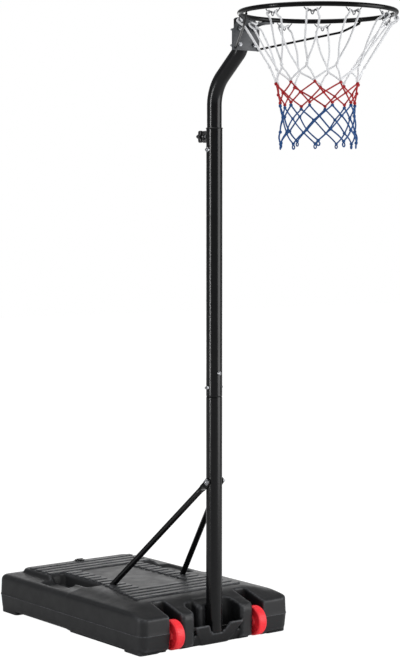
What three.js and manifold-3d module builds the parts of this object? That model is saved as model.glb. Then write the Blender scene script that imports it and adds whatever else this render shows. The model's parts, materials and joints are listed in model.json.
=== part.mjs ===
// Netball post: a ballast tank on two transport wheels, a jointed pole with two braces,
// a telescoping bent mast, and a hoop with a cord net.
// Millimetres, +Z up. The origin is on the floor under the pole's axis, and the hoop faces -Y.

import * as THREE from 'three';
import * as BufferGeometryUtils from 'three/addons/utils/BufferGeometryUtils.js';
import Module from 'manifold-3d';

// General clearances
const GAP = 0.3;                 // between pieces that touch
const OVERRUN = 8;               // how far a cut runs past the face that it opens
const WELD = 1e-4;               // distance under which two vertices are one

// Counts of facets
const POLE_SIDES = 20;
const BOLT_SIDES = 10;
const HEX_SIDES = 6;
const RING_SIDES = 8;
const RING_STEPS = 48;
const WHEEL_SIDES = 20;
const BEND_STEPS = 4;
const CORNER_STEPS = 3;
const CORD_SIDES = 4;
const WIRE_SIDES = 5;
const STAY_SIDES = 8;

// Tank
const TANK_HALF_WIDTH = 258;
const TANK_FRONT = -18;
const TANK_LENGTH = 734;
const TANK_BACK = TANK_FRONT + TANK_LENGTH;
const TANK_CORNER = 27;
const TANK_UNDERSIDE = 9;        // height of the tank's floor above its feet
const TANK_DRAFT = 5;            // how far the side walls lean in towards the floor
const TANK_WALL = 4;
const DECK_HEIGHT = 130;
const DECK_INSET = 68;           // from the tank's side to the deck's edge
const DECK_BACK_INSET = 29.4;
const DECK_HALF_WIDTH = TANK_HALF_WIDTH - DECK_INSET;
const DECK_BACK = TANK_BACK - DECK_BACK_INSET;
const DECK_ROUND = 5;
const SHOULDER_DROP = 18;        // below the deck
const SHOULDER_INSET = 15;
const RIM_DROP = 22;
const RIM_INSET = 5;
const SIDE_DROP = 29;            // the upright side wall ends here
const PARTING_SHARE = 0.42;      // height of the parting line, as a share of the deck's
const FLANGE_REACH = 2.8;
const FLANGE_THICKNESS = 3.2;
const FRONT_ROUND = 7;

// Feet of the tank
const FOOT_WIDTH = 67;
const FOOT_LENGTH = 80;
const FOOT_SIDE_INSET = 5;
const FOOT_END_INSET = 14;
const CENTRE_FOOT_HALF_WIDTH = 46;
const CENTRE_FOOT_FRONT = -4;
const CENTRE_FOOT_LENGTH = 66;

// Recess for the pole, its saddle, its cheeks and its front tongue
const RECESS_HALF_WIDTH = 81;
const RECESS_BACK = 42;
const RECESS_CORNER = 26;
const SADDLE_HALF_WIDTH = 45;
const SADDLE_FRONT = 12;
const CHEEK_REACH = 3;           // how far the cheeks stand out from the front wall
const CHEEK_FRONT = TANK_FRONT - CHEEK_REACH;
const CHEEK_ROUND = 9;
const TONGUE_HALF_WIDTH = 84;
const TONGUE_FRONT = -30;
const TONGUE_TOP = 61;
const TONGUE_SHOULDER = 57;
const TONGUE_WALL = 9;
const TONGUE_STEP = 3;           // from the tongue's face back to the wall below the recess
const NOTCH_HALF_WIDTH = 23;
const NOTCH_SPLAY = 12;
const NOTCH_DEPTH = 22;
const SLOPE_GAP = 46;            // from the recess to the top of the front slope
const SLOPE_DROP = 31;           // from the deck to the slope's foot
const SLOPE_BACK = RECESS_BACK + SLOPE_GAP;
const SLOPE_FOOT = DECK_HEIGHT - SLOPE_DROP;

// Ribs on the deck
const RIB_PITCH = 31;
const RIB_WIDTH = 19;
const RIB_RISE = 3.5;
const RIB_SINK = 1;
const RIB_INSET = 8;             // from the deck's edge
const RIB_TAPER = 42;            // how much further in the ribs end beside the pocket's front
const RIB_GAP = 24;              // from the slope to the first rib
const PANEL_HALF_WIDTH = 84;     // smooth middle panel of the deck
const PANEL_FRONT = 252;
const PANEL_LENGTH = 278;

// Hand-hold pockets beside the deck
const POCKET_DEPTH = 35;
const POCKET_INSET = 51.2;         // how far the pocket reaches into the deck
const POCKET_WIDTH = 51;
const POCKET_FRONT = 332;
const POCKET_LENGTH = 210;
const POCKET_SLANT = 16;         // how far the pocket's end walls lean
const LIP_DEPTH = 23.5;
const LIP_SIDE_GAP = 26;         // from the lip's outer end to the tank's side
const LIP_SETBACK = 70;          // the lip starts this far behind the pocket's front
const LIP_SLANT = 26;
const POCKET_INNER = DECK_HALF_WIDTH - POCKET_INSET;
const POCKET_BACK = POCKET_FRONT + POCKET_LENGTH;

// Filler
const FILLER_INSET = 24;         // from the deck's back edge
const FILLER_Y = DECK_BACK - FILLER_INSET;
const FILLER_BORE = 11.5;          // radius
const FILLER_BOSS = 19;          // radius
const PLUG_RADIUS = 14.5;
const PLUG_TOP = 2.6;
const PLUG_STEM = 14;
const PLUG_WALL = 2.5;
const PLUG_GRIP_WIDTH = 6;
const PLUG_GRIP_HEIGHT = 2;
const SEAL_THICKNESS = 1;
const SEAL_RADIUS = 15;

// Wheels and axle
const WHEEL_RADIUS = 41;
const WHEEL_WIDTH = 27;
const WHEEL_SIDE_INSET = 115.5;  // from the tank's side to the middle of the wheel
const WHEEL_X = TANK_HALF_WIDTH - WHEEL_SIDE_INSET;
const WHEEL_DISH = 6;
const WHEEL_RIM = 7;
const WHEEL_HUB = 13;            // radius
const WHEEL_EDGE = 2;
const AXLE_RADIUS = 4;
const WHEEL_LIFT = 4;            // the wheels clear a level floor
const AXLE_HEIGHT = WHEEL_LIFT + WHEEL_RADIUS;
const AXLE_SEAT = 14;            // length of axle held in the tank's outer blocks
const SLOT_CLEARANCE = 7;        // beside the wheel
const SLOT_BACK_CLEARANCE = 29;  // behind the wheel
const SLOT_SPAN = WHEEL_WIDTH + SLOT_CLEARANCE + SLOT_CLEARANCE;

// Pole
const POLE_RADIUS = 22;
const POLE_WALL = 1.5;
const POLE_TAIL = 11;            // length of pole below the axle
const POLE_BOTTOM = AXLE_HEIGHT - POLE_TAIL;
const SEAM_HEIGHT = 683;
const UPPER_LENGTH = 725;
const POLE_TOP = SEAM_HEIGHT + UPPER_LENGTH;
const NECK_LENGTH = 117;
const NECK_TAPER = 5;
const COLLAR_RADIUS = 23.2;
const COLLAR_THICKNESS = 2.6;

// Joint bolts, M6
const BOLT_RADIUS = 3;
const BOLT_HEAD_RADIUS = 6;
const BOLT_HEAD_HEIGHT = 4.5;
const NUT_RADIUS = 6;
const NUT_HEIGHT = 5;
const BOLT_TIP = 4;
const FRONT_BOLT_RISE = 64;      // above the seam
const SIDE_BOLT_RISE = 24;

// Braces
const BRACE_DROP = 234;          // from the seam down to the brace bolt
const BRACE_BOLT_HEIGHT = SEAM_HEIGHT - BRACE_DROP;
const BRACE_RADIUS = 8.25;
const BRACE_TUBE_WALL = 1.2;
const BRACE_TAB_THICKNESS = 3.4;
const BRACE_TAB_WIDTH = 22;
const BRACE_TAB_LENGTH = 15;
const BRACE_CRIMP_LENGTH = 26;
const BRACE_FOOT_INSET = 66.2;     // from the deck's edge
const BRACE_FOOT_X = DECK_HALF_WIDTH - BRACE_FOOT_INSET;
const BRACE_FOOT_Y = 307;
const SOCKET_DEPTH = 26;
const WASHER_RADIUS = 9;
const WASHER_THICKNESS = 1.6;

// Clamp of the mast
const CLAMP_DROP = 20;           // below the pole's top
const CLAMP_HEIGHT = POLE_TOP - CLAMP_DROP;
const BOSS_RADIUS = 8;
const BOSS_LENGTH = 8;
const SCREW_RADIUS = 4;
const KNOB_START = 38;           // distance of the knob's near face from the pole's axis
const KNOB_LENGTH = 21;
const KNOB_RADIUS = 16;
const KNOB_LOBE = 2.4;
const KNOB_LOBES = 6;
const LOBE_POINTS = 6;
const KNOB_COLLAR = 9;
const KNOB_COLLAR_LENGTH = 7;
const KNOB_BORE_DEPTH = 20;
const STOP_DROP = 37;            // below the clamp
const STOP_HEIGHT = CLAMP_HEIGHT - STOP_DROP;
const STOP_HEAD_RADIUS = 6.5;
const STOP_HEAD_LENGTH = 8;

// Mast
const MAST_RADIUS = 20;
const MAST_WALL = 1.5;
const MAST_CLEARANCE = 70;       // from the lower pole's neck to the mast's lower end
const MAST_BOTTOM = SEAM_HEIGHT + NECK_LENGTH + MAST_CLEARANCE;
const LOWER_BEND_RISE = 61;      // from the pole's top to the first bend
const LOWER_BEND_START = POLE_TOP + LOWER_BEND_RISE;
const LOWER_BEND_RADIUS = 100;
const UPPER_BEND_RADIUS = 40;
const MAST_LEAN = THREE.MathUtils.degToRad(50);
const MAST_REACH = 115;          // from the pole's axis to the mast's upper end
const MAST_HEAD = 78.9;          // from the upper corner of the mast's line to its end
const CAP_HEIGHT = 5;
const CAP_PLUG = 12;
const CAP_WALL = 2;

// Hoop
const RING_RADIUS = 196;         // to the middle of the rod: 380 clear inside
const ROD_RADIUS = 6;
const PLATE_HALF_WIDTH = 43.5;
const PLATE_THICKNESS = 3;
const PLATE_HEIGHT = 84;
const RING_DROP = 11;            // from the plate's top to the middle of the ring
const PLATE_CHAMFER_WIDTH = 17;
const PLATE_CHAMFER_HEIGHT = 29;
const PLATE_LIP = 9;
const TONGUE_TO_HOOK = 12;      // from the tongue under the ring to the nearest hook
const TONGUE_PLATE_THICKNESS = 4;
const TONGUE_LENGTH = 86;
const GUSSET_THICKNESS = 3;
const GUSSET_DROP = 16;
const STAY_RADIUS = 3;
const STAY_ANGLE = THREE.MathUtils.degToRad(105);
const STAY_RISE = 5;             // start of a stay above the plate's lower edge
const STAY_INSET = 4;            // start of a stay inside the plate's side edge
const STAY_KNEE_SHARE = 0.71;    // of the way from the plate to the ring
const STAY_KNEE_RISE = 31.5;
const STAY_KNEE_RADIUS = 60;
const U_BOLT_RADIUS = 3;
const U_BOLT_HALF_SPAN = 25;
const U_BOLT_LOW = 15;           // height of the lower one above the plate's lower edge
const U_BOLT_TIP = 3;
const LOWER_U_BOLT_SLACK = 2.4;     // the lower one clears the end of the mast's bend

// Net hooks
const HOOK_WIRE = 1.3;           // radius
const HOOK_HALF_WIDTH = 21;
const HOOK_DEPTH = 17;
const HOOK_POCKET_X = 11.5;
const HOOK_POCKET_DEPTH = 9.5;
const HOOK_BARB_X = 7.5;
const HOOK_BARB_DEPTH = 6;
const HOOK_ANGLES = [-165, -135, -75, -45, -15, 15, 45, 75, 135, 165].map(THREE.MathUtils.degToRad);

// Net
const CORD_RADIUS = 1.6;
const KNOT_RADIUS = 3.4;
const NET_DEPTH = 332;
const NET_TWIST = THREE.MathUtils.degToRad(-20);
const LEG_SPREAD = 15.5;         // half the distance between a loop's legs under the hook
const LEG_INSET = 14;            // how far the legs lean in below the hook
const LEG_BOW = 4;
const EYE_RADIUS = 4.6;
// Rows of knots from the hooks down, as shares of the net's depth, the ring's radius and the twist
const NET_ROW_SHARES = [
  { depth: 0.404, radius: 0.607, twist: 0 },
  { depth: 0.527, radius: 0.541, twist: 0.45 },
  { depth: 0.611, radius: 0.5, twist: 0.7 },
  { depth: 0.693, radius: 0.474, twist: 0.85 },
  { depth: 0.786, radius: 0.457, twist: 0.9 },
  { depth: 0.892, radius: 0.469, twist: 1 },
  { depth: 0.976, radius: 0.485, twist: 1 },
];

const wasm = await Module();
wasm.setup();

// Finishes
function finish(color, roughness, metalness) {
  return { color, roughness, metalness };
}
const MOULDED_BLACK = finish(0x36383a, 0.62, 0);
const COATED_BLACK = finish(0x1b1c1e, 0.38, 0.3);
const COATED_GREY = finish(0x4c4e52, 0.45, 0.4);
const ZINC = finish(0xc2c5c8, 0.3, 1);
const RED_PLASTIC = finish(0xd8202c, 0.42, 0);
const KNOB_BLACK = finish(0x161617, 0.5, 0);
const SEAL_RUBBER = finish(0x101010, 0.9, 0);
const FILL = finish(0x8a8472, 0.9, 0);
const WHITE_CORD = finish(0xf2f2f0, 0.85, 0);
const RED_CORD = finish(0xc4242f, 0.85, 0);
const BLUE_CORD = finish(0x2360b0, 0.85, 0);

// Conversions between three.js geometries and solids that can be joined and cut

function signedVolume(positions, indices) {
  const a = new THREE.Vector3();
  const b = new THREE.Vector3();
  const c = new THREE.Vector3();
  let total = 0;
  for (let i = 0; i < indices.length; i += 3) {
    a.fromArray(positions, 3 * indices[i]);
    b.fromArray(positions, 3 * indices[i + 1]);
    c.fromArray(positions, 3 * indices[i + 2]);
    total += a.dot(b.cross(c));
  }
  return total;
}

function solid(geometry) {
  const bare = geometry.clone();
  bare.deleteAttribute('normal');
  bare.deleteAttribute('uv');
  const merged = BufferGeometryUtils.mergeVertices(bare, WELD);
  const vertProperties = new Float32Array(merged.attributes.position.array);
  const triVerts = new Uint32Array(merged.index.array);
  if (signedVolume(vertProperties, triVerts) < 0) {
    for (let i = 0; i < triVerts.length; i += 3) {
      [triVerts[i + 1], triVerts[i + 2]] = [triVerts[i + 2], triVerts[i + 1]];
    }
  }
  return new wasm.Manifold(new wasm.Mesh({ numProp: 3, vertProperties, triVerts }));
}

function surface(shape) {
  const mesh = shape.getMesh();
  const geometry = new THREE.BufferGeometry();
  geometry.setAttribute('position', new THREE.BufferAttribute(mesh.vertProperties, mesh.numProp));
  geometry.setIndex(new THREE.BufferAttribute(mesh.triVerts, 1));
  geometry.computeVertexNormals();
  return geometry;
}

function join(shapes) {
  return shapes.reduce((sum, shape) => sum.add(shape));
}

function cut(shape, tools) {
  return tools.reduce((rest, tool) => rest.subtract(tool), shape);
}

// Plain shapes

// A block between two corners.
function block(low, high) {
  const size = high.map((value, axis) => value - low[axis]);
  const geometry = new THREE.BoxGeometry(...size);
  geometry.translate(...low.map((value, axis) => value + size[axis] / 2));
  return solid(geometry);
}

// An outline in X and Y, raised from one height to another.
function prism(points, low, high) {
  const shape = new THREE.Shape(points.map(([x, y]) => new THREE.Vector2(x, y)));
  const geometry = new THREE.ExtrudeGeometry(shape, { depth: high - low, bevelEnabled: false });
  geometry.translate(0, 0, low);
  return geometry;
}

// An outline in Y and Z, drawn out along X.
function prismAlongX(points, low, high) {
  const geometry = prism(points, low, high);
  geometry.applyMatrix4(new THREE.Matrix4().makeBasis(Y_AXIS, Z_AXIS, X_AXIS));
  return geometry;
}

// An outline in X and Z, drawn out along Y.
function prismAlongY(points, low, high) {
  const geometry = prism(points.map(([x, z]) => [z, x]), low, high);
  geometry.applyMatrix4(new THREE.Matrix4().makeBasis(Z_AXIS, X_AXIS, Y_AXIS));
  return geometry;
}

const X_AXIS = new THREE.Vector3(1, 0, 0);
const Y_AXIS = new THREE.Vector3(0, 1, 0);
const Z_AXIS = new THREE.Vector3(0, 0, 1);

// A turned shape about the Z axis from pairs of radius and height.
function turned(profile, sides) {
  const points = profile.map(([radius, height]) => new THREE.Vector2(radius, height));
  const geometry = new THREE.LatheGeometry(points, sides);
  geometry.rotateX(Math.PI / 2);
  return geometry;
}

// A turned shape moved so that its Z axis lies along a direction through a point.
function turnedAlong(profile, sides, direction, start) {
  const geometry = turned(profile, sides);
  const turn = new THREE.Quaternion().setFromUnitVectors(Z_AXIS, direction);
  geometry.applyQuaternion(turn);
  geometry.translate(start.x, start.y, start.z);
  return geometry;
}

function rod(radius, length, sides, direction, start) {
  return turnedAlong([[0, 0], [radius, 0], [radius, length], [0, length]], sides, direction, start);
}

// A shell of rings that have the same number of points, closed by a flat fan at each end.
function loft(rings) {
  const count = rings[0].length;
  const positions = rings.flat().flatMap((point) => point.toArray());
  const indices = [];
  for (let ring = 0; ring + 1 < rings.length; ring += 1) {
    for (let i = 0; i < count; i += 1) {
      const a = ring * count + i;
      const b = ring * count + ((i + 1) % count);
      indices.push(a, b, b + count, a, b + count, a + count);
    }
  }
  const last = (rings.length - 1) * count;
  for (let i = 1; i + 1 < count; i += 1) {
    indices.push(0, i + 1, i, last, last + i, last + i + 1);
  }
  const geometry = new THREE.BufferGeometry();
  geometry.setAttribute('position', new THREE.Float32BufferAttribute(positions, 3));
  geometry.setIndex(indices);
  return solid(geometry);
}

// A level rectangle with round corners, as points of one ring.
function roundedRectangle(left, right, front, back, corner, height) {
  const centres = [
    [right - corner, back - corner],
    [left + corner, back - corner],
    [left + corner, front + corner],
    [right - corner, front + corner],
  ];
  return centres.flatMap(([x, y], quarter) => Array.from({ length: CORNER_STEPS + 1 }, (_, step) => {
    const angle = (quarter + step / CORNER_STEPS) * Math.PI / 2;
    return new THREE.Vector3(x + corner * Math.cos(angle), y + corner * Math.sin(angle), height);
  }));
}

function circle(radius, sides) {
  return Array.from({ length: sides }, (_, i) => {
    const angle = 2 * Math.PI * i / sides;
    return new THREE.Vector2(radius * Math.cos(angle), radius * Math.sin(angle));
  });
}

// A path that an extrusion follows with one step from each station to the next.
class StationPath extends THREE.Curve {
  constructor(stations) {
    super();
    this.stations = stations;
  }

  getPoint(t, target = new THREE.Vector3()) {
    const place = t * (this.stations.length - 1);
    const index = Math.min(Math.floor(place), this.stations.length - 2);
    const [from, to] = [this.stations[index], this.stations[index + 1]];
    return target.lerpVectors(from, to, place - index);
  }

  getPointAt(u, target) {
    return this.getPoint(u, target);
  }

  getTangentAt(u, target = new THREE.Vector3()) {
    const last = this.stations.length - 1;
    const index = Math.round(u * last);
    const before = this.stations[Math.max(index - 1, 0)];
    const here = this.stations[index];
    const after = this.stations[Math.min(index + 1, last)];
    const arriving = here.clone().sub(before).normalize();
    const leaving = after.clone().sub(here).normalize();
    return target.copy(arriving).add(leaving).normalize();
  }
}

// A tube through stations, with a bore if an inner radius is given.
function tube(stations, radius, sides, bore = 0) {
  const shape = new THREE.Shape(circle(radius, sides));
  if (bore > 0) {
    shape.holes.push(new THREE.Path(circle(bore, sides)));
  }
  const extrudePath = new StationPath(stations);
  return new THREE.ExtrudeGeometry(shape, { steps: stations.length - 1, extrudePath });
}

// The corners of a path with its inner ones rounded to a radius each.
function filleted(corners, radii, steps) {
  const stations = [corners[0]];
  for (let i = 1; i + 1 < corners.length; i += 1) {
    const back = corners[i - 1].clone().sub(corners[i]).normalize();
    const ahead = corners[i + 1].clone().sub(corners[i]).normalize();
    const half = back.angleTo(ahead) / 2;
    const inward = back.clone().add(ahead).normalize();
    const centre = corners[i].clone().addScaledVector(inward, radii[i - 1] / Math.sin(half));
    const start = corners[i].clone().addScaledVector(back, radii[i - 1] / Math.tan(half)).sub(centre);
    const axis = back.clone().cross(ahead).normalize();
    const sweep = -(Math.PI - 2 * half);
    for (let step = 0; step <= steps; step += 1) {
      stations.push(start.clone().applyAxisAngle(axis, sweep * step / steps).add(centre));
    }
  }
  stations.push(corners[corners.length - 1]);
  return stations;
}

// Assembly helpers

const post = new THREE.Group();

function piece(name, shape, look, parent = post) {
  const geometry = surface(shape.isBufferGeometry ? solid(shape) : shape);
  const mesh = new THREE.Mesh(geometry, new THREE.MeshStandardMaterial(look));
  mesh.name = name;
  parent.add(mesh);
  return mesh;
}

function mirrored(shape) {
  return shape.mirror([1, 0, 0]);
}

// Tank

function tankLevel(inset, height) {
  return roundedRectangle(
    inset - TANK_HALF_WIDTH, TANK_HALF_WIDTH - inset,
    TANK_FRONT + inset, TANK_BACK - inset, TANK_CORNER - inset, height,
  );
}

function deckLevel(outset, height) {
  return roundedRectangle(
    -DECK_HALF_WIDTH - outset, DECK_HALF_WIDTH + outset,
    TANK_FRONT + SHOULDER_INSET, DECK_BACK + outset, TANK_CORNER - DECK_ROUND, height,
  );
}

const deckFloor = DECK_HEIGHT - RIB_RISE;
const halfFlange = FLANGE_THICKNESS / 2;
const partingHeight = DECK_HEIGHT * PARTING_SHARE;

const tankBody = loft([
  tankLevel(TANK_DRAFT, TANK_UNDERSIDE),
  tankLevel(0, partingHeight - FLANGE_THICKNESS),
  tankLevel(-FLANGE_REACH, partingHeight - halfFlange),
  tankLevel(-FLANGE_REACH, partingHeight + halfFlange),
  tankLevel(0, partingHeight + FLANGE_THICKNESS),
  tankLevel(RIM_INSET / 2, DECK_HEIGHT - SIDE_DROP),
  tankLevel(RIM_INSET, DECK_HEIGHT - RIM_DROP),
  tankLevel(SHOULDER_INSET, DECK_HEIGHT - SHOULDER_DROP),
  deckLevel(DECK_ROUND, deckFloor - DECK_ROUND / 2),
  deckLevel(0, deckFloor),
]);

// The smooth slope from the deck's front edge down to the front wall.
const slopeRun = SLOPE_BACK - TANK_FRONT;
const slopeRise = DECK_HEIGHT - SLOPE_FOOT;
const slopeBeyond = slopeRise * (OVERRUN - TONGUE_FRONT) / slopeRun;
const slopeCut = solid(prismAlongX([
  [TANK_FRONT - OVERRUN + TONGUE_FRONT, SLOPE_FOOT - slopeBeyond],
  [SLOPE_BACK, DECK_HEIGHT],
  [SLOPE_BACK, DECK_HEIGHT + OVERRUN],
  [TANK_FRONT - OVERRUN + TONGUE_FRONT, DECK_HEIGHT + OVERRUN],
], -TANK_HALF_WIDTH - OVERRUN, TANK_HALF_WIDTH + OVERRUN));
const frontEdgeCut = solid(prismAlongX([
  [TANK_FRONT - OVERRUN, SLOPE_FOOT - FRONT_ROUND - OVERRUN],
  [TANK_FRONT + FRONT_ROUND + OVERRUN, SLOPE_FOOT + slopeRise * FRONT_ROUND / slopeRun + OVERRUN],
  [TANK_FRONT - OVERRUN, SLOPE_FOOT + slopeRise * FRONT_ROUND / slopeRun + OVERRUN],
], -TANK_HALF_WIDTH - OVERRUN, TANK_HALF_WIDTH + OVERRUN));

function deckRibs() {
  const ribs = [];
  const first = SLOPE_BACK + RIB_GAP;
  const count = Math.floor((DECK_BACK - DECK_ROUND - RIB_WIDTH - first) / RIB_PITCH) + 1;
  for (let i = 0; i < count; i += 1) {
    const front = first + i * RIB_PITCH;
    const back = front + RIB_WIDTH;
    const beside = front < POCKET_FRONT ? (front - first) / (POCKET_FRONT - first) : 0;
    const reach = DECK_HALF_WIDTH - RIB_INSET - RIB_TAPER * beside;
    const crossesPanel = back > PANEL_FRONT && front < PANEL_FRONT + PANEL_LENGTH;
    const inner = crossesPanel ? PANEL_HALF_WIDTH : 0;
    const low = deckFloor - RIB_SINK;
    if (crossesPanel) {
      ribs.push(block([-reach, front, low], [-inner, back, DECK_HEIGHT]));
      ribs.push(block([inner, front, low], [reach, back, DECK_HEIGHT]));
    } else {
      ribs.push(block([-reach, front, low], [reach, back, DECK_HEIGHT]));
    }
  }
  return ribs;
}

// One pocket for a hand: a deep part beside the deck and a shallow lip out to the side.
function pocket() {
  const above = DECK_HEIGHT + OVERRUN;
  const outer = POCKET_INNER + POCKET_WIDTH;
  const lean = POCKET_SLANT / 2;
  const deep = loft([
    roundedRectangle(POCKET_INNER + lean, outer - lean,
      POCKET_FRONT + POCKET_SLANT, POCKET_BACK - POCKET_SLANT, POCKET_SLANT, DECK_HEIGHT - POCKET_DEPTH),
    roundedRectangle(POCKET_INNER, outer, POCKET_FRONT, POCKET_BACK, POCKET_SLANT, above),
  ]);
  const lipOuter = TANK_HALF_WIDTH - LIP_SIDE_GAP;
  const lipFront = POCKET_FRONT + LIP_SETBACK;
  const lip = loft([
    roundedRectangle(POCKET_INNER + LIP_SLANT, lipOuter - lean,
      lipFront + LIP_SLANT / 2, POCKET_BACK - LIP_SLANT, lean, DECK_HEIGHT - LIP_DEPTH),
    roundedRectangle(POCKET_INNER + LIP_SLANT, lipOuter + LIP_SLANT,
      lipFront - LIP_SLANT / 2, POCKET_BACK, POCKET_SLANT, above),
  ]);
  return deep.add(lip);
}

function wheelSlot() {
  return block(
    [WHEEL_X - SLOT_SPAN / 2, TONGUE_FRONT - OVERRUN, -OVERRUN],
    [WHEEL_X + SLOT_SPAN / 2, WHEEL_RADIUS + SLOT_BACK_CLEARANCE, DECK_HEIGHT + OVERRUN],
  );
}

function feet() {
  const top = TANK_UNDERSIDE + TANK_WALL / 2;
  const outer = TANK_HALF_WIDTH - FOOT_SIDE_INSET;
  const front = TANK_FRONT + FOOT_END_INSET;
  const back = TANK_BACK - FOOT_END_INSET;
  const side = [
    block([outer - FOOT_WIDTH, front, 0], [outer, front + FOOT_LENGTH, top]),
    block([outer - FOOT_WIDTH, back - FOOT_LENGTH, 0], [outer, back, top]),
  ];
  const centre = block(
    [-CENTRE_FOOT_HALF_WIDTH, CENTRE_FOOT_FRONT, 0],
    [CENTRE_FOOT_HALF_WIDTH, CENTRE_FOOT_FRONT + CENTRE_FOOT_LENGTH, top],
  );
  return [centre, ...side, ...side.map(mirrored)];
}

// The walled space in front of the pole, and the block behind it that it leans on.
const recessFloor = POLE_BOTTOM - GAP;
const recess = loft([recessFloor, DECK_HEIGHT + OVERRUN].map((height) => roundedRectangle(
  -RECESS_HALF_WIDTH, RECESS_HALF_WIDTH, TONGUE_FRONT - RECESS_CORNER - OVERRUN, RECESS_BACK,
  RECESS_CORNER, height,
)));
const saddle = cut(
  block([-SADDLE_HALF_WIDTH, SADDLE_FRONT, recessFloor - TANK_WALL],
    [SADDLE_HALF_WIDTH, RECESS_BACK + TANK_WALL, DECK_HEIGHT]),
  [slopeCut],
);

// The notched tongue that closes the recess at the front, leaning back towards its foot.
const tongueRoot = TANK_FRONT + TANK_CORNER;
const tongueLean = (CENTRE_FOOT_FRONT - TONGUE_FRONT) / TONGUE_TOP;
const notchBottom = TONGUE_TOP - NOTCH_DEPTH;
const tongue = cut(
  solid(prismAlongY([
    [-TONGUE_HALF_WIDTH, TONGUE_TOP],
    [-TONGUE_HALF_WIDTH, TONGUE_SHOULDER],
    [-CENTRE_FOOT_HALF_WIDTH, 0],
    [CENTRE_FOOT_HALF_WIDTH, 0],
    [TONGUE_HALF_WIDTH, TONGUE_SHOULDER],
    [TONGUE_HALF_WIDTH, TONGUE_TOP],
    [NOTCH_HALF_WIDTH + NOTCH_SPLAY, TONGUE_TOP],
    [NOTCH_HALF_WIDTH, notchBottom],
    [-NOTCH_HALF_WIDTH, notchBottom],
    [-NOTCH_HALF_WIDTH - NOTCH_SPLAY, TONGUE_TOP],
  ], TONGUE_FRONT, tongueRoot)),
  [
    solid(prismAlongX([
      [TONGUE_FRONT - OVERRUN, -OVERRUN],
      [CENTRE_FOOT_FRONT + tongueLean * OVERRUN, -OVERRUN],
      [TONGUE_FRONT - tongueLean * OVERRUN, TONGUE_TOP + OVERRUN],
      [TONGUE_FRONT - OVERRUN, TONGUE_TOP + OVERRUN],
    ], -TANK_HALF_WIDTH, TANK_HALF_WIDTH)),
    solid(prismAlongX([
      [CENTRE_FOOT_FRONT + TONGUE_WALL - tongueLean * recessFloor, recessFloor],
      [tongueRoot + OVERRUN, recessFloor],
      [tongueRoot + OVERRUN, TONGUE_TOP + OVERRUN],
      [TONGUE_FRONT + TONGUE_WALL - tongueLean * OVERRUN, TONGUE_TOP + OVERRUN],
    ], -TANK_HALF_WIDTH, TANK_HALF_WIDTH)),
  ],
);

// What is cut from the front wall behind the tongue.
const tongueRoom = solid(prismAlongX([
  [TONGUE_FRONT - OVERRUN, -OVERRUN],
  [CENTRE_FOOT_FRONT + TONGUE_STEP + tongueLean * OVERRUN, -OVERRUN],
  [TONGUE_FRONT + TONGUE_STEP - tongueLean * OVERRUN, TONGUE_TOP + OVERRUN],
  [TONGUE_FRONT - OVERRUN, TONGUE_TOP + OVERRUN],
], -RECESS_HALF_WIDTH, RECESS_HALF_WIDTH));

// The cheeks between the recess and the wheel slots stand out from the front wall.
function cheek() {
  const slotSide = WHEEL_X - SLOT_SPAN / 2;
  return cut(
    loft([TANK_UNDERSIDE, DECK_HEIGHT].map((height) => roundedRectangle(
      RECESS_HALF_WIDTH, slotSide, CHEEK_FRONT, SADDLE_FRONT + CHEEK_ROUND, CHEEK_ROUND, height,
    ))),
    [slopeCut],
  );
}

// Brace lines: from the bolt through the pole down into the deck.
const tabCentreX = POLE_RADIUS + GAP + BRACE_TAB_THICKNESS / 2;
const braceTop = new THREE.Vector3(tabCentreX, 0, BRACE_BOLT_HEIGHT);
const braceKnee = braceTop.clone();
const braceFoot = new THREE.Vector3(BRACE_FOOT_X, BRACE_FOOT_Y, DECK_HEIGHT);
const tabDirection = braceFoot.clone().sub(braceTop).setX(0).normalize();
braceKnee.addScaledVector(tabDirection, BRACE_TAB_LENGTH);
const braceDirection = braceFoot.clone().sub(braceKnee).normalize();
const socketEnd = braceFoot.clone().addScaledVector(braceDirection, SOCKET_DEPTH);

function socket() {
  const start = braceFoot.clone().addScaledVector(braceDirection, -SOCKET_DEPTH);
  const length = socketEnd.distanceTo(start);
  return solid(rod(BRACE_RADIUS + GAP + GAP, length, BOLT_SIDES, braceDirection, start));
}

// The hollow of the tank, drawn in by a clearance for what fills it.
function hollow(inset) {
  const wall = TANK_WALL + TANK_DRAFT + inset;
  const main = loft([TANK_UNDERSIDE + TANK_WALL + inset, DECK_HEIGHT - POCKET_DEPTH - TANK_WALL - inset].map(
    (height) => roundedRectangle(
      wall - TANK_HALF_WIDTH, TANK_HALF_WIDTH - wall,
      SLOPE_BACK - TANK_WALL + inset, TANK_BACK - wall, TANK_CORNER - wall, height,
    ),
  ));
  const crown = loft([TANK_UNDERSIDE + TANK_WALL + inset, deckFloor - TANK_WALL - inset].map(
    (height) => roundedRectangle(
      inset - PANEL_HALF_WIDTH, PANEL_HALF_WIDTH - inset,
      SLOPE_BACK + inset, DECK_BACK - TANK_WALL - inset, TANK_CORNER - wall, height,
    ),
  ));
  return main.add(crown);
}

function axleBores() {
  const outer = WHEEL_X + SLOT_SPAN / 2 + AXLE_SEAT + GAP;
  const start = new THREE.Vector3(-outer, 0, AXLE_HEIGHT);
  return solid(rod(AXLE_RADIUS + GAP, outer + outer, BOLT_SIDES, X_AXIS, start));
}

const fillerCentre = new THREE.Vector3(0, FILLER_Y, 0);
const fillerBoss = solid(rod(
  FILLER_BOSS, RIB_RISE + RIB_SINK, POLE_SIDES, Z_AXIS,
  fillerCentre.clone().setZ(deckFloor - RIB_SINK),
));
const fillerBore = solid(rod(
  FILLER_BORE, DECK_HEIGHT, POLE_SIDES, Z_AXIS,
  fillerCentre.clone().setZ(deckFloor - TANK_WALL - OVERRUN),
));

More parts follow.
